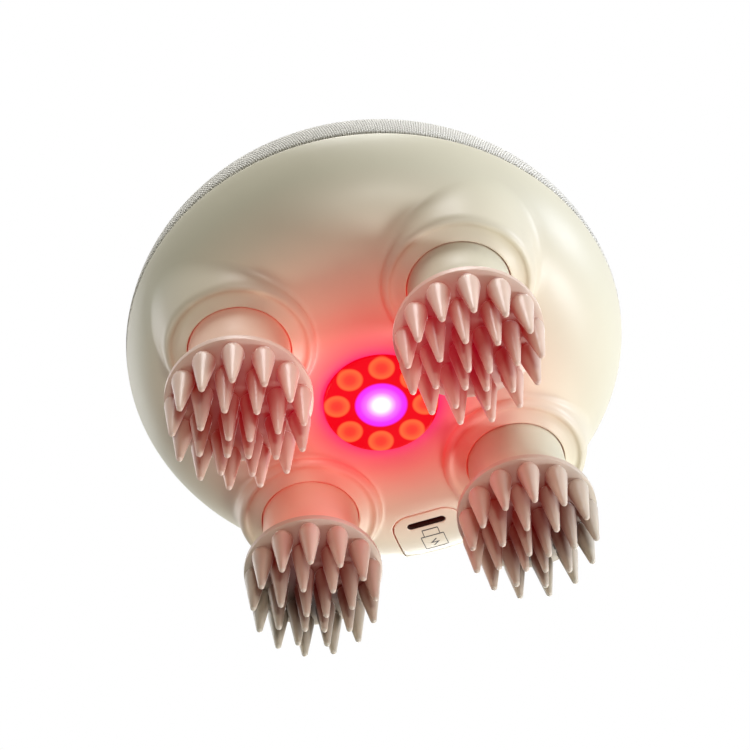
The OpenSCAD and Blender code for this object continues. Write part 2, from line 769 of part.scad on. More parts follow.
module top_plate() {
    color(frame_colour) difference() {
        union() {
            translate([0, 0, plate_z]) cylinder(r = tray_r, h = plate_t);
            for (k = [0 : 3]) at_head(k) translate([0, 0, upper_boss_z])
                cylinder(r = upper_boss_r, h = plate_z - upper_boss_z + plate_t / 2);
        }
        for (k = [0 : 3]) at_head(k) translate([0, 0, upper_boss_z - past])
            cylinder(r = bush_r, h = bush_length + past);
        for (p = concat(PILLARS, [[0, motor_screw_y], [0, -motor_screw_y]]))
            translate([p.x, p.y, plate_z - past])
                cylinder(r = small_screw_r + screw_gap, h = plate_t + 2 * past);
        for (x = [-1, 1], y = [-1, 1]) translate([x * saddle_x, y * cradle_screw_y, plate_z - past])
            cylinder(r = small_screw_r, h = plate_t + 2 * past);
        translate([0, 0, plate_z - past]) cylinder(r = motor_boss_r + seat_gap, h = plate_t + 2 * past);
        translate([idler_distance, 0, plate_z - past]) cylinder(r = stud_r, h = plate_t + 2 * past);
        for (x = [-1, 1]) translate([x * cable_hole_x, 0, plate_z - past])
            cylinder(r = cable_hole_r, h = plate_t + 2 * past);
    }
}

module sun_post() {
    color(steel_colour) {
        translate([0, 0, tray_z]) cylinder(r = post_r, h = wheel_top_z - tray_z - seat_gap);
        translate([0, 0, wheel_top_z - seat_gap - post_head_t]) cylinder(r = post_head_r, h = post_head_t);
    }
}

module thrust_washer() {
    color(steel_colour) translate([0, 0, tray_top_z]) ring(post_r + washer_w, post_r + bearing_gap, washer_t);
}

module sun_gear() {
    color(gear_colour) difference() {
        union() {
            translate([0, 0, gear_z]) rotate(head_angle(0)) gear(sun_teeth, mesh_module, gear_t);
            translate([0, 0, gear_top_z - eps]) gear(wheel_teeth, mesh_module, wheel_t + eps);
        }
        translate([0, 0, gear_z - past]) cylinder(r = post_r + bearing_gap, h = gear_t + wheel_t + 2 * past);
        translate([0, 0, wheel_top_z - post_head_t - 2 * seat_gap])
            cylinder(r = post_head_r + run_gap, h = wheel_t);
        for (i = [0 : 5]) rotate(60 * i + 15) translate([spoke_hole_ring, 0, gear_z - past])
            cylinder(r = spoke_hole_r, h = gear_t + 2 * past);
    }
}

module idler_stud() {
    color(steel_colour) translate([idler_distance, 0, idler_z + seat_gap]) {
        cylinder(r = stud_r, h = plate_top_z - idler_z - seat_gap);
        cylinder(r = stud_head_r, h = stud_head_t);
    }
}

module idler_gear() {
    color(gear_colour) translate([idler_distance, 0, 0]) difference() {
        union() {
            translate([0, 0, idler_z]) rotate(180 + 180 / idler_small_teeth)
                gear(idler_small_teeth, mesh_module, fast_z - idler_z + eps);
            translate([0, 0, fast_z]) rotate(180) gear(idler_big_teeth, fast_mesh_module, fast_gear_t);
        }
        translate([0, 0, idler_z - past])
            cylinder(r = stud_r + bearing_gap, h = fast_top_z - idler_z + 2 * past);
        translate([0, 0, idler_z - past])
            cylinder(r = stud_head_r + 2 * seat_gap, h = stud_head_t + 2 * seat_gap + past);
    }
}

module motor() {
    color(steel_colour) difference() {
        union() {
            translate([0, 0, plate_top_z]) cylinder(r = motor_r, h = motor_length);
            translate([0, 0, plate_top_z - motor_boss_t])
                cylinder(r = motor_boss_r, h = motor_boss_t + motor_length + motor_rear_t);
            for (x = [-1, 1])
                translate([x * terminal_x - terminal_t / 2, -terminal_w / 2, plate_top_z + motor_bore])
                    cube([terminal_t, terminal_w, motor_length - motor_bore + terminal_l]);
        }
        translate([0, 0, plate_z - past])
            cylinder(r = motor_shaft_d / 2 + bearing_gap, h = plate_t + motor_bore + past);
        for (y = [-1, 1]) translate([0, y * motor_screw_y, plate_top_z - past])
            cylinder(r = small_screw_r, h = motor_screw_bite + run_gap + past);
    }
}

module motor_shaft() {
    color(steel_colour) translate([0, 0, fast_z - shaft_tip])
        cylinder(r = motor_shaft_d / 2, h = plate_top_z + motor_bore - motor_bore_gap - fast_z + shaft_tip);
}

module motor_pinion() {
    color(brass_colour) translate([0, 0, fast_z]) difference() {
        rotate(180 / pinion_teeth) gear(pinion_teeth, fast_mesh_module, fast_gear_t);
        translate([0, 0, -past]) cylinder(r = motor_shaft_d / 2, h = fast_gear_t + 2 * past);
    }
}

module bush() {
    ring(bush_r, shaft_r + bearing_gap, bush_length);
    translate([0, 0, bush_length]) ring(bush_flange_r, shaft_r + bearing_gap, bush_flange_t);
}

module lower_bushes() {
    color(brass_colour) for (k = [0 : 3]) at_head(k) translate([0, 0, bush_z]) bush();
}

module upper_bushes() {
    color(brass_colour) for (k = [0 : 3]) at_head(k)
        translate([0, 0, upper_boss_z + bush_length]) mirror([0, 0, 1]) bush();
}

module shaft_seals() {
    color(dark_colour) for (k = [0 : 3]) at_head(k) translate([0, 0, web_z])
        ring(bush_flange_r, shaft_r + seal_gap, seal_t);
}

module cell() {
    body_l = cell_length - cell_nub_l;
    translate([-cell_length / 2, 0, 0]) rotate([0, 90, 0]) cylinder(r = cell_r, h = body_l);
    translate([-cell_length / 2 + cell_nub_l, 0, 0]) rotate([0, 90, 0]) cylinder(r = cell_nub_r, h = body_l);
}

module left_cell() {
    color(cell_colour) translate([0, cell_offset, cell_z]) rotate(180) cell();
}

module right_cell() {
    color(cell_colour) translate([0, -cell_offset, cell_z]) cell();
}

module cell_links() {
    color(steel_colour) {
        translate([cell_length / 2, -cell_offset - link_w / 2, cell_z - link_w / 2])
            cube([link_t, 2 * cell_offset + link_w, link_w]);
        for (y = [-1, 1])
            translate([-cell_length / 2 - link_t, y * cell_offset - link_w / 2, cell_z - link_w / 2])
                cube([link_t, link_w, cell_r + link_w / 2]);
    }
}

module cell_cradle() {
    half = cell_offset + cell_r + cradle_wall;
    color(frame_colour) difference() {
        union() {
            for (x = [-1, 1]) translate([x * saddle_x - saddle_w / 2, 0, plate_top_z]) {
                translate([0, -half, 0]) cube([saddle_w, 2 * half, saddle_floor_t]);
                for (y = [-1, 1]) translate([0, y * cell_offset - cell_r - cradle_wall, 0])
                    cube([saddle_w, 2 * (cell_r + cradle_wall), cell_z - plate_top_z]);
            }
            for (y = [-1, 1]) translate([-saddle_x, y * (cell_offset - tie_inset) - tie_w / 2, plate_top_z])
                cube([2 * saddle_x, tie_w, tie_t]);
        }
        for (y = [-1, 1]) translate([-cell_length, y * cell_offset, cell_z]) rotate([0, 90, 0])
            cylinder(r = cell_r + cell_seat_gap, h = 2 * cell_length);
        for (x = [-1, 1], y = [-1, 1]) translate([x * saddle_x, y * cradle_screw_y, plate_top_z - past])
            cylinder(r = small_screw_r + screw_gap, h = saddle_floor_t + 2 * past);
    }
}

module main_board() {
    color(board_colour) difference() {
        translate([0, 0, board_z]) cylinder(r = board_d / 2, h = board_t);
        for (p = BOARD_POSTS) translate([p.x, p.y, board_z - past])
            cylinder(r = small_screw_r + screw_gap, h = board_t + 2 * past);
    }
}

module board_parts() {
    color(dark_colour) for (c = CHIPS) translate([c[0], c[1], board_top_z]) cube([c[2], c[3], c[4]]);
    color("white") for (c = PLUG_SOCKETS) translate([c[0], c[1], board_top_z]) cube([c[2], c[3], c[4]]);
}

module push_switch() {
    color(dark_colour) translate([0, 0, board_top_z]) difference() {
        translate([-switch_w / 2, -switch_w / 2, 0]) cube([switch_w, switch_w, switch_t]);
        translate([0, 0, switch_floor_t]) cylinder(r = plunger_r + seat_gap, h = switch_t);
    }
}

module switch_plunger() {
    plunger_z = board_top_z + switch_floor_t + seat_gap + button_travel;
    color("ivory") translate([0, 0, plunger_z]) cylinder(r = plunger_r, h = stem_z - plunger_z);
}

module button_bezel() {
    color(shell_colour) {
        translate([0, 0, bezel_z]) ring(bezel_r, button_r + button_gap, bezel_height);
        translate([0, 0, bezel_flange_z])
            ring(bezel_r + bezel_flange, button_r + button_gap, bezel_top_z - bezel_flange_z);
    }
}

module power_button() {
    under_cap = button_cap_t / 2;
    color(shell_colour) {
        translate([0, 0, button_top_z - button_cap_t]) cylinder(r = button_r, h = button_cap_t);
        translate([0, 0, button_flange_z])
            ring(button_r, button_r - button_skirt, button_top_z - button_flange_z - under_cap);
        translate([0, 0, button_flange_z])
            ring(bezel_r - button_gap, button_r - button_skirt, button_flange_t);
        translate([0, 0, stem_z]) cylinder(r = stem_r, h = button_top_z - stem_z - under_cap);
    }
}

module charging_socket() {
    color(steel_colour) translate([0, -socket_y, socket_z]) difference() {
        linear_extrude(socket_length) polygon(slot_points(socket_w, socket_h));
        translate([0, 0, -past]) linear_extrude(socket_length - socket_back_t + past)
            polygon(slot_points(socket_w - 2 * socket_sheet, socket_h - 2 * socket_sheet));
    }
}

module socket_tongue() {
    tongue_end = socket_length - socket_back_t;
    color(dark_colour) translate([0, -socket_y, socket_z]) {
        translate([-tongue_w / 2, -tongue_t / 2, tongue_inset])
            cube([tongue_w, tongue_t, tongue_end - tongue_inset]);
        translate([0, 0, tongue_end - tongue_base_t]) linear_extrude(tongue_base_t)
            polygon(slot_points(socket_w - 2 * socket_sheet, socket_h - 2 * socket_sheet));
    }
}

module socket_board() {
    color(board_colour) difference() {
        translate([-socket_board_w / 2, -socket_y - socket_board_l / 2, socket_top_z])
            cube([socket_board_w, socket_board_l, socket_board_t]);
        for (x = [-1, 1]) translate([x * socket_screw_x, -socket_y, socket_top_z - past])
            cylinder(r = small_screw_r + screw_gap, h = socket_board_t + 2 * past);
    }
}

// The cover is a piece of the bowl's own skin, with two knuckles on the pin
module port_cover() {
    color(shell_colour) difference() {
        union() {
            intersection() {
                difference() {
                    bowl(0);
                    bowl(cover_t);
                }
                translate([0, 0, bowl_bottom_z - past]) linear_extrude(bowl_depth)
                    polygon(port_points(cover_half, port_inner_y + port_gap, cover_outer_y,
                                        port_corner_r - port_gap));
            }
            for (x = [-1, 1]) translate([x * (cover_half - knuckle_l / 2) - knuckle_l / 2, -hinge_y, hinge_z])
                rotate([0, 90, 0]) cylinder(r = knuckle_r, h = knuckle_l);
        }
        translate([-port_w, -hinge_y, hinge_z]) rotate([0, 90, 0])
            cylinder(r = hinge_pin_r + bearing_gap, h = 2 * port_w);
        translate([0, -slot_y, bowl_bottom_z - past]) linear_extrude(bowl_depth)
            polygon(slot_points(slot_l, slot_w));
    }
}

module port_seal() {
    color(dark_colour) intersection() {
        translate([0, -socket_y, bowl_bottom_z]) linear_extrude(socket_z - run_gap - bowl_bottom_z)
            polygon(slot_points(socket_w + seal_grow_x, socket_h + seal_grow_y));
        bowl(cover_t);
    }
}

module hinge_pin() {
    color(steel_colour) translate([-port_half - pin_bite, -hinge_y, hinge_z]) rotate([0, 90, 0])
        cylinder(r = hinge_pin_r, h = port_w + 2 * pin_bite);
}

module shell_screws() {
    color(steel_colour) for (p = SHELL_BOSSES) translate([p.x, p.y, screw_seat_z])
        screw(screw_head_r, screw_head_t, screw_r, screw_seat_z - joint_z + shell_screw_bite);
}

module small_screw(length) {
    screw(small_head_r, small_head_t, small_screw_r, length);
}

module tray_screws() {
    color(steel_colour) for (p = TRAY_BOSSES) translate([p.x, p.y, tray_top_z])
        small_screw(tray_t + small_screw_bite);
}

module plate_screws() {
    color(steel_colour) for (p = PILLARS) translate([p.x, p.y, plate_top_z])
        small_screw(plate_t + plate_screw_bite);
}

module motor_screws() {
    color(steel_colour) for (y = [-1, 1]) translate([0, y * motor_screw_y, plate_z]) mirror([0, 0, 1])
        small_screw(plate_t + motor_screw_bite);
}

module cradle_screws() {
    color(steel_colour) for (x = [-1, 1], y = [-1, 1])
        translate([x * saddle_x, y * cradle_screw_y, plate_top_z + saddle_floor_t])
            small_screw(saddle_floor_t + plate_t);
}

module board_screws() {
    color(steel_colour) {
        for (p = BOARD_POSTS) translate([p.x, p.y, board_z]) mirror([0, 0, 1])
            small_screw(board_t + small_screw_bite);
        for (x = [-1, 1]) translate([x * socket_screw_x, -socket_y, socket_top_z + socket_board_t])
            small_screw(socket_board_t + small_screw_bite);
    }
}

module light_board_screws() {
    color(steel_colour) for (p = LIGHT_BOSSES) translate([p.x, p.y, light_board_z + light_board_t])
        small_screw(light_board_t + light_bite - screw_gap);
}

module drive_shaft(k) {
    color(steel_colour) at_head(k) translate([0, 0, shaft_foot_z])
        cylinder(r = shaft_r, h = shaft_top_z - shaft_foot_z);
}

module head_gear(k) {
    color(gear_colour) at_head(k) difference() {
        union() {
            translate([0, 0, gear_z]) rotate(head_angle(k) + 180 + 180 / head_teeth)
                gear(head_teeth, mesh_module, gear_t);
            translate([0, 0, gear_z]) cylinder(r = hub_r, h = gear_t + hub_t);
        }
        translate([0, 0, gear_z - past]) cylinder(r = shaft_r, h = gear_t + hub_t + 2 * past);
    }
}

// The neck's outline runs from its foot, over its waist and flare, to its top
module neck(k) {
    hollow_z = foot_z - past;
    color(shell_colour) at_head(k) difference() {
        rotate_extrude() polygon(concat(
            [[0, foot_z], [foot_r, foot_z], [foot_r, foot_z + foot_t], [waist_r, foot_z + foot_t],
             [waist_r, neck_foot_z]],
            [for (i = [0 : flare_steps]) let (t = i / flare_steps)
                [neck_r + (neck_foot_r - neck_r) * pow(1 - t, 2), neck_foot_z + flare_height * t]],
            [[neck_r, neck_end_z - neck_edge], [neck_r - neck_edge, neck_end_z], [0, neck_end_z]]));
        translate([0, 0, shaft_foot_z]) cylinder(r = shaft_r, h = neck_end_z);
        translate([0, 0, hollow_z])
            ring(waist_r - neck_wall, shaft_r + core_wall, collar_z - neck_roof - hollow_z);
    }
}

module spike(length) {
    tip = spike_tip_d / 2;
    rotate_extrude() polygon([
        [0, spike_root], [spike_base_d / 2, spike_root], [spike_base_d / 2, 0], [tip, 0.85 * tip - length],
        [0.75 * tip, 0.35 * tip - length], [0.4 * tip, 0.08 * tip - length], [0, -length]]);
}

// A ring of spikes whose tips lean outwards
module spike_ring(count, phase, r, length, lean) {
    for (i = [0 : count - 1]) rotate(phase + 360 * i / count)
        translate([r, 0, pad_face_z(r)]) rotate([0, -lean, 0]) spike(length);
}

module pad(k) {
    color(pad_colour) at_head(k) {
        difference() {
            rotate_extrude() polygon(concat(
                [for (i = [0 : face_steps]) let (r = pad_r * i / face_steps) [r, pad_face_z(r)]],
                [[pad_r, pad_edge_z], [pad_lip_d / 2, pad_lip_z], [0, pad_lip_z]]));
            translate([0, 0, foot_z - seat_gap / 2]) cylinder(r = foot_r + seat_gap, h = foot_t + seat_gap);
            translate([0, 0, foot_z]) cylinder(r = waist_r + seat_gap, h = pad_lip_z - foot_z + past);
        }
        spike_ring(outer_spikes, outer_phase, outer_ring_r, outer_spike_l, outer_lean);
        spike_ring(middle_spikes, middle_phase, middle_ring_r, middle_spike_l, 0);
        spike_ring(inner_spikes, inner_phase, inner_ring_r, inner_spike_l, 0);
    }
}

lower_shell();
upper_shell();
fabric_cover();
joint_ring();
light_window();
light_board();
emitters();
gear_tray();
top_plate();
sun_post();
thrust_washer();
sun_gear();
idler_stud();
idler_gear();
motor();
motor_shaft();
motor_pinion();
lower_bushes();
upper_bushes();
shaft_seals();
left_cell();
right_cell();
cell_links();
cell_cradle();
main_board();
board_parts();
push_switch();
switch_plunger();
button_bezel();
power_button();
charging_socket();
socket_tongue();
socket_board();
port_cover();
port_seal();
hinge_pin();
shell_screws();
tray_screws();
plate_screws();
motor_screws();
cradle_screws();
board_screws();
light_board_screws();
for (k = [0 : 3]) {
    drive_shaft(k);
    head_gear(k);
    neck(k);
    pad(k);
}
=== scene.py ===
# %% [markdown]
# # An electric scalp massager
# This lesson builds the looks of a cordless scalp massager, piece by piece, around a fixed frame of
# solids. The real object is a satin plastic bowl under a knitted dome, with four turning heads of soft
# silicone spikes, a red light window between them and a small charging cover at the front. We work in
# millimetres and turn them into metres only when a mesh is made, because the frame is in metres.

# %% Load the frame
import json
import math
import bmesh
import bpy
from mathutils import Matrix, Vector
from mathutils.geometry import delaunay_2d_cdt


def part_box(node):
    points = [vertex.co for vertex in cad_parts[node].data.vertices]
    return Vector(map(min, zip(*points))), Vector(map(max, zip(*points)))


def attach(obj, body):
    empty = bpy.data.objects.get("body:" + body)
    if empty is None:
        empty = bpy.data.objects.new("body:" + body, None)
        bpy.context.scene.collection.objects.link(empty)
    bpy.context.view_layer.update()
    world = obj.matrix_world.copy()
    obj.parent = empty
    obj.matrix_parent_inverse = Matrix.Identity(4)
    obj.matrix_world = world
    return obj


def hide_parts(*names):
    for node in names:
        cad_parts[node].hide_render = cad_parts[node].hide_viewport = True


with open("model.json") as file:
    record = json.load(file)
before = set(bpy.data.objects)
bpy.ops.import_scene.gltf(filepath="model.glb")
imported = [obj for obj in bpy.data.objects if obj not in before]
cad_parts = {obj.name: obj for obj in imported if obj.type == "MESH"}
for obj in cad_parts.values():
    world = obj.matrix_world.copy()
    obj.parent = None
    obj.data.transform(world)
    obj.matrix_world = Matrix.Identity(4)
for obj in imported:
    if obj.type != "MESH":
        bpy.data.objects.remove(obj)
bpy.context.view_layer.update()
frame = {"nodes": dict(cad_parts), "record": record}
MM = 0.001

# %% [markdown]
# The camera comes first, so that every piece can be judged in the view that matters. It looks up at the
# massager from below and behind. A long lens keeps the round body from bulging. A camera's matrix holds
# its right, up and back directions as columns, so those three directions and a place are all it needs.

# %% Camera
def put_in_scene(name, data):
    """A new object in the scene, for a mesh, a lamp or a camera."""
    made = bpy.data.objects.new(name, data)
    bpy.context.collection.objects.link(made)
    return made


camera = put_in_scene("camera", bpy.data.cameras.new("camera"))
bpy.context.scene.camera = camera
camera.data.lens = 81.0
camera.data.sensor_width = 36.0
camera.data.clip_start = 0.01
to_right = (-0.9548, -0.2907, -0.0618)
to_top = (-0.2748, 0.7841, 0.5566)
to_back = (-0.1133, 0.5484, -0.8285)
place = (-0.04057, 0.19930, -0.25478)
camera.matrix_world = Matrix(list(zip(to_right, to_top, to_back, place)) + [(0, 0, 0, 1)])
print("camera at", place, "lens", camera.data.lens)

# %% [markdown]
# These are the sizes that the pieces share, in millimetres. Heights are counted from the tips of the
# longest spikes, which is where the massager stands. The bowl's face follows a rounded power curve: almost
# flat in the middle and steep at the rim, as a mould maker would draw it.

# %% Sizes that the pieces share
RIM_R, JOINT_Z, BOWL_DEPTH = 54.0, 52.718, 17.3
BOWL_FILL, BOWL_SIDE = 6.3, 1.38
HEAD_OFFSET = 32.8
CORNERS = ["rear_right", "rear_left", "front_left", "front_right"]


def on_circle(centre, r, angle):
    """The flat point at a radius and an angle, in radians, around a centre."""
    return centre[0] + r * math.cos(angle), centre[1] + r * math.sin(angle)


def bowl_z(x, y=0.0):
    """Height of the bowl's outer face over a point."""
    share = min(math.hypot(x, y), RIM_R) / RIM_R
    return JOINT_Z - BOWL_DEPTH * (1 - share ** BOWL_FILL) ** (1 / BOWL_SIDE)


HEADS = [on_circle((0.0, 0.0), HEAD_OFFSET, math.radians(45 + 90 * k)) for k in range(4)]
print("bowl from z", round(bowl_z(0), 2), "to", round(bowl_z(RIM_R), 2), "mm")

# %% [markdown]
# Every piece starts as a skin: a list of points and the faces between them. A skin grows row by row,
# because moulded and turned parts are mostly rows of points that are sewn to each other.

# %% Skins
class Skin:
    """The points and faces of a piece in the making, in millimetres."""

    def __init__(self):
        self.points, self.faces = [], []

    def row(self, points):
        """Adds points and returns their numbers."""
        first = len(self.points)
        self.points.extend(points)
        return list(range(first, len(self.points)))

    def sew(self, one, other):
        """Faces between two closed rows with as many points each."""
        for k in range(len(one)):
            n = (k + 1) % len(one)
            face = [one[k], one[n], other[n], other[k]]
            self.faces.append([v for i, v in enumerate(face) if v not in face[:i]])

    def stack(self, rows, closed=False):
        """Sews rows to each other in turn, and the last to the first if the stack is closed."""
        numbers = [self.row(points) for points in rows]
        for one, other in zip(numbers, numbers[1:] + ([numbers[0]] if closed else [])):
            self.sew(one, other)
        return numbers

    def patch(self, points, triangles):
        """Adds a filled area and returns its points' numbers."""
        numbers = self.row(points)
        self.faces.extend([numbers[v] for v in triangle] for triangle in triangles)
        return numbers


def circle(r, z, columns, centre=(0.0, 0.0)):
    """A level circle of points."""
    return [(*on_circle(centre, r, 2 * math.pi * k / columns), z) for k in range(columns)]


def spin(outline, columns, centre=(0.0, 0.0), closed=False):
    """The skin of an outline of (radius, height) turned around an upright axis."""
    skin = Skin()
    skin.stack([circle(r, z, columns, centre) for r, z in outline], closed)
    return skin


print("a ring of 12 points:", len(circle(RIM_R, 0, 12)))

# %% [markdown]
# Once a skin is whole, `add_piece` makes the Blender object. It joins points that lie on each other, turns
# all faces outwards, shades the piece smooth but keeps real edges crisp, and puts it on the body that it
# moves with. Blender can't tell the inside of an open skin from its outside, so such a skin names one point
# on its outside.

# %% From a skin to a piece
SAME_POINT, NO_LENGTH = 0.002, 0.0005


def mesh_of(name, points, faces):
    """A mesh from points in millimetres and the faces between them."""
    mesh = bpy.data.meshes.new(name)
    mesh.from_pydata([(x * MM, y * MM, z * MM) for x, y, z in points], [], faces)
    return mesh


def add_piece(name, skin, body, material, replaced, crisp=40, outside=None):
    """Makes a piece that moves with a body and stands for solids of the frame. Edges sharper than crisp
    degrees stay sharp. A skin that isn't closed says with outside, a point on it that looks down, which
    way it faces."""
    mesh = mesh_of(name, skin.points, skin.faces)
    work = bmesh.new()
    work.from_mesh(mesh)
    bmesh.ops.remove_doubles(work, verts=work.verts, dist=SAME_POINT * MM)
    bmesh.ops.dissolve_degenerate(work, edges=work.edges, dist=NO_LENGTH * MM)
    bmesh.ops.recalc_face_normals(work, faces=work.faces)
    if outside:
        spot = Vector(outside) * MM
        nearest = min(work.faces, key=lambda face: (face.calc_center_median() - spot).length)
        if nearest.normal.z > 0:
            bmesh.ops.reverse_faces(work, faces=work.faces)
    work.to_mesh(mesh)
    work.free()
    mesh.shade_smooth()
    mesh.set_sharp_from_angle(angle=math.radians(crisp))
    mesh.materials.append(material)
    piece = put_in_scene(name, mesh)
    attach(piece, body)
    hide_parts(*replaced)
    return piece


print("points closer than", SAME_POINT, "mm are joined")

# %% [markdown]
# A real edge is never a bare corner. `soften` turns a short list of corners into a smooth outline: each
# corner names its reach, the distance over which it is rounded. `grown` moves a closed flat outline
# outwards by a set distance, which gives bevels and gaps their true width all the way round.

# %% Outlines
SIDE_SHARE = 0.48


def soften(corners, steps=5):
    """A smooth outline through corners (a, b, reach). Each is rounded over its reach, or over a share of
    the side beside it where that is shorter."""
    points = []
    for i, (a, b, *reach) in enumerate(corners):
        if not reach or i in (0, len(corners) - 1):
            points.append((a, b))
            continue
        here, before, after = Vector((a, b)), Vector(corners[i - 1][:2]), Vector(corners[i + 1][:2])
        start, end = (here + (other - here).normalized() * min(reach[0], (other - here).length * SIDE_SHARE)
                      for other in (before, after))
        for k in range(steps + 1):
            t = k / steps
            p = start * (1 - t) ** 2 + here * 2 * t * (1 - t) + end * t * t
            points.append((p.x, p.y))
    return points


def right_of(a, b):
    """The direction to the right of the way from a to b."""
    way = Vector(b) - Vector(a)
    return Vector((way.y, -way.x)).normalized()


def grown(loop, amount):
    """A closed flat outline, counter-clockwise, moved outwards by an amount."""
    out = []
    for i, here in enumerate(loop):
        a, b = right_of(loop[i - 1], here), right_of(here, loop[(i + 1) % len(loop)])
        out.append(tuple(Vector(here) + (a + b) * amount / (1 + a.dot(b))))
    return out


print("a rounded corner has", len(soften([(0, 0), (1, 0, 0.2), (1, 1)])) - 2, "points")

# %% [markdown]
# A moulded face with holes in it is harder: the bowl has four collars, a window and a charging opening.
# A Boolean would cut them, but it leaves long thin faces that catch the light. Instead we fill the flat
# space between closed loops with even triangles (a Delaunay triangulation) and lift each point to its
# height afterwards. The loops keep their own points, so the collars and edges can be sewn on exactly.

# %% Fill the space between loops
GRID_SHIFT_X, GRID_SHIFT_Y = 0.23, 0.37


def inside(p, loop):
    """Whether a flat point lies inside a closed loop of points."""
    hit = False
    for (x0, y0), (x1, y1) in zip(loop, loop[1:] + loop[:1]):
        if (y0 > p[1]) != (y1 > p[1]) and p[0] < (x1 - x0) * (p[1] - y0) / (y1 - y0) + x0:
            hit = not hit
    return hit


def between(p, outer, holes):
    """Whether a flat point lies inside outer and outside all holes."""
    return inside(p, outer) and not any(inside(p, hole) for hole in holes)


def fill_between(outer, holes, spacing, clear=0.6):
    """Flat points, the loops' points first, and the triangles inside outer and outside holes. New points
    stay clear of the loops by a share of the spacing."""
    points, edges, near = [], [], {}
    for loop in [outer] + holes:
        n = len(points)
        points += [Vector(p) for p in loop]
        edges += [(n + i, n + (i + 1) % len(loop)) for i in range(len(loop))]
    for p in points:
        near.setdefault((int(p.x // spacing), int(p.y // spacing)), []).append(p)
    left, low = min(p.x for p in points), min(p.y for p in points)
    width, height = max(p.x for p in points) - left, max(p.y for p in points) - low
    row_step = spacing * math.sin(math.radians(60))
    for j in range(int(height / row_step) + 1):
        for i in range(int(width / spacing) + 1):
            p = Vector((left + (i + 0.5 * (j % 2) + GRID_SHIFT_X) * spacing,
                        low + (j + GRID_SHIFT_Y) * row_step))
            column, row = int(p.x // spacing), int(p.y // spacing)
            cells = [(column + dx, row + dy) for dx in (-1, 0, 1) for dy in (-1, 0, 1)]
            close = [q for cell in cells for q in near.get(cell, [])]
            if all((q - p).length >= clear * spacing for q in close) and between(p, outer, holes):
                points.append(p)
    out, _, triangles, _, _, _ = delaunay_2d_cdt(points, edges, [], 0, 1e-7)
    assert len(out) == len(points), "the loops cross"
    middles = [sum((out[v] for v in triangle), Vector((0, 0))) / 3 for triangle in triangles]
    kept = [triangle for triangle, middle in zip(triangles, middles) if between(middle, outer, holes)]
    return [tuple(p) for p in out], kept


square = [(0, 0), (4, 0), (4, 4), (0, 4)]
print("a square of 4 mm fills with", len(fill_between(square, [], 1.0)[1]), "triangles")

# %% [markdown]
# Next come the materials. All of them are node based, so they work at any size and need no pictures. A
# `Recipe` starts with the numbers that are the same all over the surface, set straight on the shader. What
# changes from place to place, such as mottling, uneven gloss and grain, is added by short steps, so each
# material reads as a recipe.

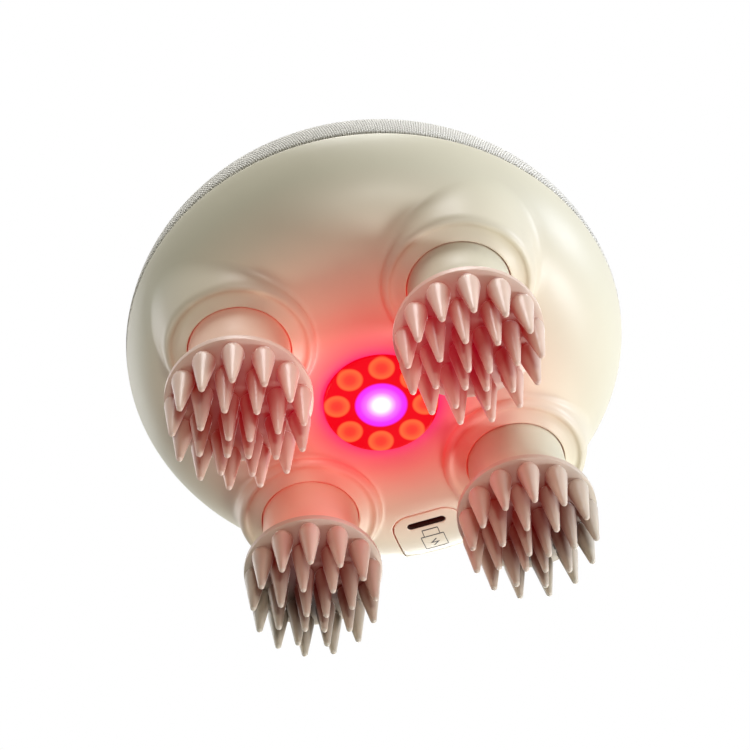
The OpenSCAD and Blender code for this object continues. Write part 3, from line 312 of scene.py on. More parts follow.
# %% Material recipes
class Recipe:
    """A material in the making: its nodes, and short steps that add to them."""

    def __init__(self, name, colour, roughness, **sockets):
        self.material = bpy.data.materials.new(name)
        self.material.use_nodes = True
        self.nodes, self.links = self.material.node_tree.nodes, self.material.node_tree.links
        self.shader = self.nodes["Principled BSDF"]
        self.colour = colour
        self.set("Base Color", (*colour, 1))
        self.set("Roughness", roughness)
        for socket, value in sockets.items():
            self.set(socket.replace("_", " "), value)

    def set(self, socket, value):
        """Gives a shader socket a constant value or another node's output."""
        if isinstance(value, bpy.types.NodeSocket):
            self.links.new(value, self.shader.inputs[socket])
        else:
            self.shader.inputs[socket].default_value = value

    def feed(self, socket, value):
        """Gives any node's socket a number, a colour or another node's output."""
        if isinstance(value, bpy.types.NodeSocket):
            self.links.new(value, socket)
        else:
            socket.default_value = (*value, 1) if isinstance(value, tuple) else value

    def place(self):
        """The place on the piece, in metres, as a node output."""
        return self.nodes.new("ShaderNodeTexCoord").outputs["Object"]

    def split(self, vector):
        """The x, y and z of a vector."""
        node = self.nodes.new("ShaderNodeSeparateXYZ")
        self.links.new(vector, node.inputs[0])
        return node.outputs

    def noise(self, scale, detail=3.0):
        """Noise that sticks to the piece, with the scale in cells for each metre."""
        node = self.nodes.new("ShaderNodeTexNoise")
        for socket, value in (("Scale", scale), ("Detail", detail), ("Vector", self.place())):
            self.feed(node.inputs[socket], value)
        return node.outputs["Fac"]

    def math(self, operation, *values, clamp=False):
        """One step of arithmetic on numbers or other nodes' outputs."""
        node = self.nodes.new("ShaderNodeMath")
        node.operation = operation
        node.use_clamp = clamp
        for socket, value in zip(node.inputs, values):
            self.feed(socket, value)
        return node.outputs[0]

    def distance(self, centre, start=0.0, reach=1.0):
        """How far a place is from a centre in millimetres: 0 up to start, and 1 from a reach further on."""
        node = self.nodes.new("ShaderNodeVectorMath")
        node.operation = "DISTANCE"
        self.links.new(self.place(), node.inputs[0])
        node.inputs[1].default_value = [c * MM for c in centre]
        return self.math("MULTIPLY_ADD", node.outputs["Value"], 1 / (reach * MM), -start / reach, clamp=True)

    def ramp(self, value, *stops):
        """A colour for each value, from stops of (position, colour)."""
        node = self.nodes.new("ShaderNodeValToRGB")
        while len(node.color_ramp.elements) < len(stops):
            node.color_ramp.elements.new(0.5)
        for element, (position, colour) in zip(node.color_ramp.elements, stops):
            element.position = position
            element.color = (*colour, 1)
        self.links.new(value, node.inputs["Fac"])
        return node.outputs["Color"]

    def mix(self, share, a, b):
        """Colour a, turning into colour b with the share."""
        node = self.nodes.new("ShaderNodeMix")
        node.data_type = "RGBA"
        for socket, value in ((node.inputs["Factor"], share), (node.inputs[6], a), (node.inputs[7], b)):
            self.feed(socket, value)
        return node.outputs[2]

    def mottled(self, scale, amount):
        """The base colour, a little lighter and darker from place to place."""
        dark, light = (tuple(min(1.0, c * (1 + sign * amount)) for c in self.colour) for sign in (-1, 1))
        return self.ramp(self.noise(scale), (0.3, dark), (0.7, light))

    def uneven_gloss(self, scale, low, high):
        """Roughness that changes from place to place."""
        self.set("Roughness", self.math("MULTIPLY_ADD", self.noise(scale, 2.0), high - low, low))

    def relief(self, height, strength, depth):
        """Bumps from a height, with the depth in millimetres."""
        node = self.nodes.new("ShaderNodeBump")
        node.inputs["Strength"].default_value = strength
        node.inputs["Distance"].default_value = depth * MM
        self.links.new(height, node.inputs["Height"])
        self.set("Normal", node.outputs["Normal"])


print("steps of a recipe:", ", ".join(step for step in vars(Recipe) if not step.startswith("_")))

# %% [markdown]
# The bowl is satin ABS, a plastic with a fine spark-eroded mould texture. The texture is far too small to
# model, so a fine bump with slightly uneven gloss gives the soft, wide highlights. The window's red light on
# the bowl is painted: the material gives off red light of its own, a painted glow that is strongest at the
# window's edge and fades over about four centimetres. Because the painted glow is added light and not a
# change of colour, the lit sides stay cream and the shadows turn red. A ring beside the window also gets
# painted red light in its base colour, most of all at the window's edge.

# %% Satin plastic with the window's painted red glow
CREAM, PAINTED_RED_LIGHT = (0.62, 0.585, 0.45), (0.55, 0.03, 0.06)
WINDOW_CENTRE, BESIDE_NECKS = (0.0, 0.0, 34.6), (14.0, 6.0, 24.0)
PAINTED_RED_START, PAINTED_RED_REACH, PAINTED_RED_FADE = 12, 16, 1.5
# painted glows are stops of distance in millimetres, red and blue
BOWL_PAINTED_GLOW = [(12, 0.60, 0.12), (15, 0.52, 0.035), (18, 0.50, 0.01), (21, 0.43, 0.003), (26, 0.32, 0.0),
             (31, 0.22, 0.0), (35, 0.14, 0.0), (40, 0.08, 0.0), (45, 0.035, 0.0), (52, 0.0, 0.0)]
NECK_PAINTED_GLOW = [(19, 0.28, 0.0), (24, 0.24, 0.0), (31, 0.16, 0.0), (36, 0.10, 0.0), (45, 0.04, 0.0),
             (53, 0.0, 0.0)]


def satin_plastic(name):
    """Satin plastic with a fine mould texture."""
    recipe = Recipe(name, CREAM, roughness=0.42, Specular_IOR_Level=0.45)
    recipe.uneven_gloss(scale=900, low=0.36, high=0.46)
    recipe.relief(recipe.noise(5200, 2.0), strength=0.06, depth=0.05)
    return recipe


def paint_red_glow(recipe, centre, stops):
    """Painted red light: red that the material gives off, fading with the distance from a centre."""
    start, reach = stops[0][0], stops[-1][0] - stops[0][0]
    colours = [((far - start) / reach, (red, 0.0, blue)) for far, red, blue in stops]
    recipe.set("Emission Color", recipe.ramp(recipe.distance(centre, start, reach), *colours))
    recipe.set("Emission Strength", 1.0)


recipe = satin_plastic("bowl_plastic")
# painted red light: the base colour turns red near the window's edge
from_window = recipe.distance(WINDOW_CENTRE, PAINTED_RED_START, PAINTED_RED_REACH)
painted_red_share = recipe.math("POWER", recipe.math("SUBTRACT", 1.0, from_window), PAINTED_RED_FADE)
recipe.set("Base Color", recipe.mix(painted_red_share, recipe.mottled(60, 0.02), PAINTED_RED_LIGHT))
paint_red_glow(recipe, WINDOW_CENTRE, BOWL_PAINTED_GLOW)
bowl_plastic = recipe.material

recipe = satin_plastic("neck_plastic")
recipe.set("Base Color", recipe.mottled(60, 0.02))
# painted red light on the necks, fading with the distance from a point beside them
paint_red_glow(recipe, BESIDE_NECKS, NECK_PAINTED_GLOW)
satin = recipe.material
print("satin plastics:", bowl_plastic.name, satin.name)

# %% [markdown]
# The pads are soft silicone. Light goes a little way in and comes out again, which softens shadows between
# the spikes and warms them, so the shader gets subsurface scattering. Silicone also looks slightly dusty
# where it is seen at a grazing angle, which draws a pale line around each spike. The sheen does that. The
# window's red light on the spikes near its beam is painted: the silicone gives off red light that fades
# with the distance from a point in the beam. Deep between the spikes, where little light finds its way out,
# the shade is painted: the colour changes with the distance from the heart of each pad, darker near it.

# %% Silicone of the pads, with painted shade and painted red glow
SILICONE, PAINTED_SHADE_COLOUR = (0.55, 0.49, 0.39), (0.20, 0.13, 0.10)
SHADE_HEART_Z, SHADE_HEART_R, SHADE_HEART_FADE = 15.0, 8.0, 7.0
IN_BEAM = (-4.0, 18.0, 8.0)
PAD_PAINTED_GLOW = [(14, 0.26, 0.01), (27, 0.18, 0.003), (35, 0.11, 0.0), (46, 0.05, 0.0), (56, 0.0, 0.0)]

recipe = Recipe("soft_silicone", SILICONE, roughness=0.36, Subsurface_Weight=0.05, Subsurface_Scale=0.001,
                Subsurface_Radius=(1.0, 0.45, 0.3), Sheen_Weight=1.0, Sheen_Roughness=0.15,
                Specular_IOR_Level=0.6)
# painted shade: darker towards the heart of each pad, deep between the spikes
from_shaded_heart = 1.0
for x, y in HEADS:
    from_this_one = recipe.distance((x, y, SHADE_HEART_Z), SHADE_HEART_R, SHADE_HEART_FADE)
    from_shaded_heart = recipe.math("MINIMUM", from_this_one, from_shaded_heart)
recipe.set("Base Color", recipe.mix(from_shaded_heart, PAINTED_SHADE_COLOUR, recipe.mottled(140, 0.03)))
# painted red light on the spikes near the window's beam
paint_red_glow(recipe, IN_BEAM, PAD_PAINTED_GLOW)
recipe.uneven_gloss(scale=700, low=0.30, high=0.42)
recipe.relief(recipe.noise(2600), strength=0.06, depth=0.05)
silicone = recipe.material
print("silicone:", silicone.name)

# %% [markdown]
# The lower shell is one moulding: a bowl with four raised collars. Each collar has a flat face around the
# neck, a shallow dish, a rounded lip and a sloping outer wall that flows into the bowl. The wall meets the
# bowl at a different height in each direction, because the bowl rises towards its rim. So each of the
# collar's columns gets its own outline: the wall is followed to the point where it crosses the bowl, and
# that corner is softened over about 3 mm, and a little more where the wall ends high up.

# %% Collars
COLLAR_COLUMNS, COLLAR_STEPS, HALVINGS = 144, 6, 40
SHAFT_HOLE_R, WELL_R, WELL_Z, COLLAR_Z = 3.3, 10.62, 37.32, 33.12
DISH, LIP = (13.25, 34.3), (14.4, 33.62)
WALL_R, WALL_Z, WALL_LEAN, WALL_RISE = 15.5, 34.5, 2.4, 10.4
# the wall's end counts as low up to one height and as high after a rise; each pair is a length on the
# low side and what the high side adds to it
LOW_END_Z, HIGH_END_RISE = 36, 8
END_REACH, END_ROUND = (2.85, -0.6), (3.2, 1.2)


def wall_meets_bowl(head, angle):
    """Where a collar's outer wall crosses the bowl's face, as radius from the head's axis and height."""
    low, high = 0.0, 1.0
    for _ in range(HALVINGS):
        t = (low + high) / 2
        if WALL_Z + WALL_RISE * t < bowl_z(*on_circle(head, WALL_R + WALL_LEAN * t, angle)):
            low = t
        else:
            high = t
    return WALL_R + WALL_LEAN * t, WALL_Z + WALL_RISE * t


def collar_column(head, angle):
    """One column of points of a collar, from the well to a point on the bowl's face."""
    r, z = wall_meets_bowl(head, angle)
    high = min(1.0, max(0.0, (z - LOW_END_Z) / HIGH_END_RISE))
    end_r = r + END_REACH[0] + END_REACH[1] * high
    corners = [(SHAFT_HOLE_R, WELL_Z), (WELL_R, WELL_Z, 0.3), (WELL_R, COLLAR_Z, 0.16),
               (WELL_R + 0.3, COLLAR_Z, 0.1), (*DISH, 1.3), (*LIP, 0.9), (WALL_R, WALL_Z, 1.3),
               (r, z, END_ROUND[0] + END_ROUND[1] * high), (end_r, bowl_z(*on_circle(head, end_r, angle)))]
    return [(*on_circle(head, q, angle), h) for q, h in soften(corners, COLLAR_STEPS)]


collars = [[collar_column(head, 2 * math.pi * k / COLLAR_COLUMNS) for k in range(COLLAR_COLUMNS)]
           for head in HEADS]
print("collar rows:", len(collars[0][0]), "columns:", COLLAR_COLUMNS)

# %% [markdown]
# Between the collars the bowl is filled with triangles. On the steep side near the rim a flat layout would
# give long slivers, so the layout is stretched first: the radius is replaced by the length of the way along
# the bowl's face. Afterwards each point goes back to its true radius and height.

# %% Stretch the bowl's layout
WAY_STEP = 0.05
way = [0.0]
for i in range(int(RIM_R / WAY_STEP)):
    way.append(way[-1] + math.hypot(WAY_STEP, bowl_z((i + 1) * WAY_STEP) - bowl_z(i * WAY_STEP)))


def stretched(x, y):
    """A flat point moved out to its way along the bowl's face."""
    r = math.hypot(x, y)
    i = min(int(r / WAY_STEP), len(way) - 2)
    scale = (way[i] + (way[i + 1] - way[i]) * (r / WAY_STEP - i)) / r
    return x * scale, y * scale


def on_bowl(u, v):
    """The point on the bowl's face that belongs to a stretched one."""
    s = math.hypot(u, v)
    low, high = 0, len(way) - 1
    while high - low > 1:
        middle = (low + high) // 2
        low, high = (middle, high) if way[middle] < s else (low, middle)
    scale = (low + (s - way[low]) / (way[high] - way[low])) * WAY_STEP / s
    return u * scale, v * scale, bowl_z(u * scale, v * scale)


print("way along the bowl's face:", round(way[-1], 1), "mm")

# %% [markdown]
# The charging opening has round corners towards the middle and square ones near the rim, where the cover
# is hinged. Its outline also gets a point where the recess behind it changes depth, so that the two floors
# can share it. The cover, the slot for a fingernail and the socket's hole come from the same helpers.

# %% Charging opening
PORT_HALF, PORT_INNER, PORT_OUTER, PORT_CORNER = 7.9, 31.5, 47.9, 4.2
HINGE_ROOM_Y, PORT_FLOOR_Z, HINGE_CEILING_Z = 43.0, 41.418, 44.4
BEND_STEPS = 10


def divided(a, b, n):
    """The points that divide the way from a to b into n equal steps, without b itself."""
    return [(a[0] + (b[0] - a[0]) * i / n, a[1] + (b[1] - a[1]) * i / n) for i in range(n)]


def port_outline(half, inner_y, outer_y, corner, spacing=0.8):
    """The outline of the opening, or of the cover in it, counter-clockwise."""
    turns = [math.pi / 2 * k / BEND_STEPS for k in range(BEND_STEPS + 1)]
    right = [on_circle((half - corner, -inner_y - corner), corner, t) for t in turns]
    left = [(-x, y) for x, y in reversed(right)]
    corners = ([(half, -outer_y), (half, -HINGE_ROOM_Y)] + right + left
               + [(-half, -HINGE_ROOM_Y), (-half, -outer_y)])
    points = []
    for a, b in zip(corners, corners[1:] + corners[:1]):
        points += divided(a, b, max(1, round(math.dist(a, b) / spacing)))
    return points


def slot_loop(length, width, centre_y):
    """A slot with round ends, counter-clockwise."""
    half = (length - width) / 2
    turns = [-math.pi / 2 + math.pi * k / BEND_STEPS for k in range(BEND_STEPS + 1)]
    points = [on_circle((half, centre_y), width / 2, t) for t in turns]
    return points + [(-x, 2 * centre_y - y) for x, y in points]


port_loop = port_outline(PORT_HALF, PORT_INNER, PORT_OUTER, PORT_CORNER)
print("charging opening:", len(port_loop), "points around")

# %% [markdown]
# Now the lower shell is sewn together. The bowl's face is filled first, out to a ring near the rim. Then
# come the collars' rows, the rolled edge on the rim and a short wall behind the window's edge. Because
# neighbouring rows share their points, the whole shell shades as one moulding.

# %% Lower shell
FACE_R, RIM_COLUMNS, FACE_SPACING = 53.3, 288, 1.5
RIM_STEPS, RIM_TURN_R, RIM_EDGE_R, JOINT_INNER_R = (53.5, 53.68, 53.82, 53.92), 53.95, 53.99, 51.8
WINDOW_COLUMNS, WINDOW_HOLE_R = 128, 12.2
WINDOW_WALL_R, WINDOW_BEVEL_H, WINDOW_WALL_H = 12.13, 0.1, 2.2
PORT_BEVEL, PORT_BEVEL_H = 0.14, 0.12


def flat(points):
    """The x and y of points."""
    return [point[:2] for point in points]


rim_ring = circle(FACE_R, 0, RIM_COLUMNS)
window_ring = circle(WINDOW_HOLE_R, 0, WINDOW_COLUMNS)
collar_rings = [[column[-1] for column in one] for one in collars]
loops = [flat(ring) for ring in [rim_ring] + collar_rings + [window_ring]] + [grown(port_loop, PORT_BEVEL)]
loops = [[stretched(x, y) for x, y in loop] for loop in loops]
flat_points, triangles = fill_between(loops[0], loops[1:], FACE_SPACING)
shell = Skin()
face = shell.patch([on_bowl(u, v) for u, v in flat_points], triangles)
print("bowl face:", len(face), "points,", len(triangles), "triangles")

for one in collars:
    shell.stack([[column[k] for column in one] for k in range(len(one[0]))])
rolled = soften([(RIM_TURN_R, bowl_z(RIM_TURN_R)), (RIM_EDGE_R, JOINT_Z, 0.3), (JOINT_INNER_R, JOINT_Z)], 4)
rim_rows = [(r, bowl_z(r)) for r in (FACE_R, *RIM_STEPS)] + rolled
shell.stack([circle(r, z, RIM_COLUMNS) for r, z in rim_rows])
window_rows = [(WINDOW_HOLE_R, bowl_z(WINDOW_HOLE_R)), (WINDOW_WALL_R, bowl_z(0) + WINDOW_BEVEL_H),
               (WINDOW_WALL_R, bowl_z(0) + WINDOW_WALL_H)]
shell.stack([circle(r, z, WINDOW_COLUMNS) for r, z in window_rows])
print("rows of the lower shell:", len(collars[0][0]), "on each collar,", len(rim_rows), "on the rim")

# %% [markdown]
# The recess behind the charging cover has a wall, a floor with a hole for the socket, and a deeper pocket
# near the rim where the hinge turns. Both floors are filled flat like the bowl, and a step joins them.
# Near the rim the bowl's face is higher than the floor, so the wall ends a little above the face there.

# %% Charging recess
SOCKET_Y, SOCKET_W, SOCKET_H, SOCKET_RIM = 38.9, 9.24, 3.56, 1.5
WALL_CLEAR, FLOOR_SPACING, STEP_POINTS, HAIR = 0.4, 1.6, 8, 0.001


def lifted(points, depth):
    """Flat points put on the bowl's face, or the depth behind it."""
    return [(x, y, bowl_z(x, y) + depth) for x, y in points]


def level(points, z):
    """Flat points put at one height."""
    return [(x, y, z) for x, y in points]


def wall_end(points):
    """Flat points put where the opening's wall ends: at the floor, or above the bowl's face near the rim."""
    return [(x, y, max(PORT_FLOOR_Z, bowl_z(x, y) + WALL_CLEAR)) for x, y in points]


shell.stack([lifted(grown(port_loop, PORT_BEVEL), 0), lifted(port_loop, PORT_BEVEL_H), wall_end(port_loop)])
step_line = [(-PORT_HALF + PORT_HALF * i / STEP_POINTS, -HINGE_ROOM_Y) for i in range(1, 2 * STEP_POINTS)]
floor_loop = [p for p in port_loop if p[1] > -HINGE_ROOM_Y - HAIR] + step_line
first = next(i for i, p in enumerate(port_loop) if p[1] < -HINGE_ROOM_Y + HAIR and p[0] < 0)
pocket_loop = [p for p in port_loop[first:] + port_loop[:first] if p[1] < -HINGE_ROOM_Y + HAIR]
pocket_loop += step_line[::-1]
socket_hole = slot_loop(SOCKET_W, SOCKET_H, -SOCKET_Y)
for loop, holes, z in ((floor_loop, [socket_hole], PORT_FLOOR_Z), (pocket_loop, [], HINGE_CEILING_Z)):
    points, triangles = fill_between(loop, holes, FLOOR_SPACING)
    shell.patch(level(points, z), triangles)
shell.stack([level(socket_hole, PORT_FLOOR_Z + depth) for depth in (0, SOCKET_RIM)])
shell.stack([wall_end(pocket_loop), level(pocket_loop, HINGE_CEILING_Z)])
lower_shell = add_piece("bowl_shell", shell, "housing", bowl_plastic, ["lower_shell"],
                        outside=(0, 22, bowl_z(22)))
print("lower shell:", len(lower_shell.data.polygons), "faces")

# %% [markdown]
# The charging cover is a piece of the bowl's own skin, so its face follows the same curve as the bowl,
# 0.3 mm inside the opening's edge. It has a slot for a fingernail and two knuckles that turn on a steel
# pin.

# %% Charging cover
COVER_GAP, COVER_T, COVER_OUTER, COVER_BEVEL = 0.3, 1.6, 47.5, 0.14
NAIL_Y, NAIL_L, NAIL_W = 35.0, 8.8, 1.9
HINGE_Y, HINGE_Z, PIN_R = 46.2, 42.201, 0.66
KNUCKLE_R, KNUCKLE_L, KNUCKLE_ROUND, KNUCKLE_COLUMNS = 1.3, 2.6, 0.15, 32
EDGE_SPACING, COVER_SPACING = 0.7, 0.9
cover_half = PORT_HALF - COVER_GAP
cover_loop = port_outline(cover_half, PORT_INNER + COVER_GAP, COVER_OUTER, PORT_CORNER - COVER_GAP,
                          EDGE_SPACING)
nail_slot = slot_loop(NAIL_L, NAIL_W, -NAIL_Y)

cover = Skin()
for bevel, depth in ((COVER_BEVEL, 0.0), (0.0, COVER_T)):
    points, triangles = fill_between(grown(cover_loop, -bevel), [grown(nail_slot, bevel)], COVER_SPACING)
    cover.patch(lifted(points, depth), triangles)
for loop, bevel in ((cover_loop, -COVER_BEVEL), (nail_slot, COVER_BEVEL)):
    cover.stack([lifted(grown(loop, bevel), 0), lifted(loop, COVER_BEVEL), lifted(loop, COVER_T)])
half = KNUCKLE_L / 2
knuckle = spin(soften([(PIN_R, -half), (KNUCKLE_R, -half, KNUCKLE_ROUND), (KNUCKLE_R, half, KNUCKLE_ROUND),
                       (PIN_R, half)], 3), KNUCKLE_COLUMNS, closed=True)
for side in (-1, 1):
    middle = side * (cover_half - half)
    cover.patch([(middle + z, -HINGE_Y + x, HINGE_Z + y) for x, y, z in knuckle.points], knuckle.faces)
port_cover = add_piece("charging_cover", cover, "port_lid", bowl_plastic, ["port_cover"],
                       outside=(0, -41, bowl_z(41)))
print("charging cover:", len(port_cover.data.polygons), "faces")

# %% [markdown]
# Symbols are printed in dark ink, a few hundredths of a millimetre thick. We could paint them in the
# material, but a thin ribbon of real ink stays sharp at any distance. `ribbon` gives a line of points a
# width and a thickness, and it widens the corners so that the line keeps its width around them.

# %% Ink ribbons
RIBBON_STEP, SHARPEST = 0.5, 0.35
recipe = Recipe("printed_ink_and_slot_shade", (0.035, 0.026, 0.022), roughness=0.5, Specular_IOR_Level=0.4)
recipe.set("Base Color", recipe.mottled(1800, 0.3))
recipe.relief(recipe.noise(6000), strength=0.1, depth=0.02)
# the same dark ink also serves as painted shade inside the nail slot
ink_and_slot_shade = recipe.material


def ribbon(skin, corners, width, face, above, below):
    """Adds a thin ribbon along flat corners. face gives the height under a point; above and below are the
    ribbon's two sides."""
    path = []
    for a, b in zip(corners, corners[1:]):
        path += divided(a, b, math.ceil(math.dist(a, b) / RIBBON_STEP))
    path.append(corners[-1])
    rights = [right_of(a, b) for a, b in zip(path, path[1:])]
    rows = []
    for here, a, b in zip(path, rights[:1] + rights, rights + rights[-1:]):
        out = (a + b) * (width / 2) / max(SHARPEST, 1 + a.dot(b))
        right, left = Vector(here) + out, Vector(here) - out
        rows.append([(*side, face(*side) + height) for side, height in
                     ((right, above), (left, above), (left, below), (right, below))])
    numbers = skin.stack(rows)
    skin.faces += [numbers[0], numbers[-1]]


print("ink:", ink_and_slot_shade.name)

# %% [markdown]
# The cover shows a plain charger: a plug above a battery with a bolt in it, all in straight lines. The
# slot for a fingernail gets a dark sheet of painted shade inside, because the real one is a deep and narrow
# hole.

# %% Charging symbol and painted shade in the slot
LINE, SUNK, SYMBOL_X, BOLT_Y = 0.26, 0.05, -0.2, -42.3
PLUG_Y, JOIN_Y, FOOT_Y = -37.1, -39.5, -44.9
BOLT = [(-0.55, 1.35), (0.75, -0.05), (-0.75, -0.1), (0.5, -1.45)]
symbol = Skin()


def print_line(corners, weight, proud):
    """Prints a line of the symbol, with its weight as a share of the usual width of a line."""
    ribbon(symbol, [(x + SYMBOL_X, y) for x, y in corners], LINE * weight, bowl_z, proud, SUNK)


for half, top, foot in ((1.8, PLUG_Y, JOIN_Y), (2.6, JOIN_Y, FOOT_Y)):
    for y in (top, foot):
        print_line([(half, y), (-half, y)], 1.3, -0.04)
    for x in (-half, half):
        print_line([(x, top), (x, foot)], 0.7, -0.03)
print_line([(x, y + BOLT_Y) for x, y in BOLT], 1.2, -0.03)
add_piece("charging_symbol", symbol, "port_lid", ink_and_slot_shade, [], crisp=30)

# a dark sheet inside the nail slot, in the ink material: painted shade for the deep hole
SHADE_SHEET_OUT, SHADE_SHEET_IN, SHADE_SHEET_TOP, SHADE_SHEET_FOOT = 0.03, 0.12, 0.14, COVER_T - 0.02
slot_shade_sheet = Skin()
slot_shade_sheet.stack([lifted(grown(nail_slot, -inset), depth) for inset, depth in
              ((SHADE_SHEET_OUT, SHADE_SHEET_TOP), (SHADE_SHEET_IN, SHADE_SHEET_TOP), (SHADE_SHEET_IN, SHADE_SHEET_FOOT),
               (SHADE_SHEET_OUT, SHADE_SHEET_FOOT))], closed=True)
add_piece("nail_slot_painted_shade", slot_shade_sheet, "port_lid", ink_and_slot_shade, [], crisp=30)
print("charging symbol:", len(symbol.faces), "faces; lining:", len(slot_shade_sheet.faces))

# %% [markdown]
# The necks are hard tubes that turn in the collars. Each flares into a foot that the pad grips. All four
# are the same shape, so one outline is spun for each head.

# %% Necks
NECK_R, NECK_BORE_R, NECK_COLUMNS, NECK_STRAIGHT_Z, NECK_TOP_Z = 10.4, 3.1, 128, 30.0, 36.8
FOOT_R, FOOT_Z, FOOT_EDGE, FLARE, FLARE_ROWS = 11.4, 20.118, 0.25, 5.75, 12
SPIGOT_R, SPIGOT_SHOULDER_R, SPIGOT_Z = 9.0, 9.2, 19.2
flare = [(NECK_R + (FOOT_R - NECK_R) * (1 - i / FLARE_ROWS) ** 2, FOOT_Z + FOOT_EDGE + FLARE * i / FLARE_ROWS)
         for i in range(FLARE_ROWS + 1)]
foot = soften([(SPIGOT_SHOULDER_R, FOOT_Z), (FOOT_R, FOOT_Z, 0.2), flare[0]], 4)
top = soften([(NECK_R, NECK_STRAIGHT_Z), (NECK_R, NECK_TOP_Z, 0.4), (NECK_BORE_R, NECK_TOP_Z)], 4)
neck_outline = [(NECK_BORE_R, SPIGOT_Z), (SPIGOT_R, SPIGOT_Z)] + foot + flare[1:] + top
for corner, head in zip(CORNERS, HEADS):
    add_piece("neck_tube_" + corner, spin(neck_outline, NECK_COLUMNS, head, closed=True), "head_" + corner,
              satin, ["neck_" + corner])
print("necks:", len(HEADS), "of", len(neck_outline), "rows")

# %% [markdown]
# A pad is one silicone moulding with 25 spikes: 13 in the outer ring, 8 in the middle and 4 long ones
# inside. The face is filled around the spikes' feet, and each spike is grown from its foot. It swells into
# a shoulder, narrows in a straight line and ends in a round tip, so that it bends softly and can't snap off.
# The outer spikes lean out a little, because the face is crowned and the real mould follows it.

# %% Spikes
PAD_R, FACE_Z, CROWN, INNER_RING = 14.5, 13.5, 2.2, 2.8
# how many, turn of the first, radius of the ring, length, lean and radius of the shoulder
SPIKES = [(13, 104, 12.1, 11.05, 2.4, 2.24), (8, 90, 7.8, 12.6, 0.0, 2.13),
          (4, 68, INNER_RING, 13.5, 0.0, 1.96)]
# a spike's foot and shoulder, as a share of the shoulder's radius and a depth
SPIKE_FOOT = [(0.72, 0.0), (0.87, 0.28), (0.965, 0.7), (1.0, 1.25), (0.985, 1.8)]
TIP_R, TIP_ANGLES, SIDE_SHARES = 0.65, (10, 26, 42, 58, 74, 90), (0.2, 0.4, 0.6, 0.8)
SPIKE_COLUMNS, FOOT_DEPTH = 24, 0.8


def pad_face_z(x, y=0.0):
    """Height of the pad's crowned face."""
    return FACE_Z + CROWN * (x * x + y * y - INNER_RING * INNER_RING) / (PAD_R * PAD_R)


def spike_outline(shoulder, length):
    """A spike's outline, from its foot on the pad to its round tip, as radius and depth below the face."""
    foot = [(share * shoulder, depth) for share, depth in SPIKE_FOOT]
    tip = [on_circle((0.0, length - TIP_R), TIP_R, math.radians(angle)) for angle in TIP_ANGLES]
    (r0, d0), (r1, d1) = foot[-1], tip[0]
    return foot + [(r0 + (r1 - r0) * t, d0 + (d1 - d0) * t) for t in SIDE_SHARES] + tip


def spike_row(x, y, facing, lean, r, depth):
    """One ring of points of a spike that stands at x, y and leans towards facing."""
    row = []
    for k in range(SPIKE_COLUMNS):
        t = 2 * math.pi * k / SPIKE_COLUMNS
        out, side = r * math.cos(t - facing), r * math.sin(t - facing)
        along = out * math.cos(lean) + math.sin(lean) * depth
        px = x + along * math.cos(facing) - side * math.sin(facing)
        py = y + along * math.sin(facing) + side * math.cos(facing)
        # near the foot the ring follows the crowned face, and further out it is square to the spike
        follow = max(0.0, 1 - depth / FOOT_DEPTH)
        rise = (pad_face_z(px, py) - pad_face_z(x, y)) * follow + math.sin(lean) * out * (1 - follow)
        row.append((px, py, pad_face_z(x, y) - math.cos(lean) * depth + rise))
    return row


print("spikes on each pad:", sum(ring[0] for ring in SPIKES))

# %% [markdown]
# The pad around the spikes is a crowned face, a thin rounded edge and a sloping back that grips the neck's
# foot. The spikes' feet are holes in the face, so the fill meets them point by point. Four pads from one
# function are exactly alike, as they are when they come from one mould.

# %% Pads
PAD_COLUMNS, PAD_SPACING, PAD_CLEAR, PAD_BEVEL = 128, 1.1, 0.5, 0.1
PAD_EDGE_Z, PAD_LIP_R, PAD_LIP_Z, PAD_BACK_R = 16.918, 11.6, 19.818, 9.6


def pad_skin(head):
    """The skin of the pad on a head."""
    skin, feet, face_r = Skin(), [], PAD_R - PAD_BEVEL
    for count, turn, ring_r, length, lean, shoulder in SPIKES:
        for i in range(count):
            a = math.radians(turn + 360 * i / count)
            rows = [spike_row(*on_circle((0.0, 0.0), ring_r, a), a, math.radians(lean), r, depth)
                    for r, depth in spike_outline(shoulder, length)]
            feet.append(flat(rows[0]))
            skin.stack(rows)
    points, triangles = fill_between(flat(circle(face_r, 0, PAD_COLUMNS)), feet, PAD_SPACING, PAD_CLEAR)
    skin.patch([(x, y, pad_face_z(x, y)) for x, y in points], triangles)
    edge = soften([(face_r, pad_face_z(face_r)), (PAD_R, pad_face_z(PAD_R) + 0.02, 0.08),
                   (PAD_R, PAD_EDGE_Z, 0.2), (PAD_LIP_R, PAD_LIP_Z, 0.2), (PAD_BACK_R, PAD_LIP_Z)], 3)
    skin.stack([circle(r, z, PAD_COLUMNS) for r, z in edge + [(0, PAD_LIP_Z)]])
    skin.points = [(x + head[0], y + head[1], z) for x, y, z in skin.points]
    return skin


for corner, head in zip(CORNERS, HEADS):
    pad = add_piece("silicone_pad_" + corner, pad_skin(head), "head_" + corner, silicone,
                    ["pad_" + corner], crisp=48)
print("pads:", len(pad.data.polygons), "faces each")

# %% [markdown]
# The light window is a clear red disc that glows. Eight light-emitting diodes shine through it as orange
# spots, and a blue-violet one in the middle makes a magenta ring with a white core. On the real window
# these are soft blobs on one face, so they are painted by the distance from each lamp's centre, and the
# face gives off that colour as light.

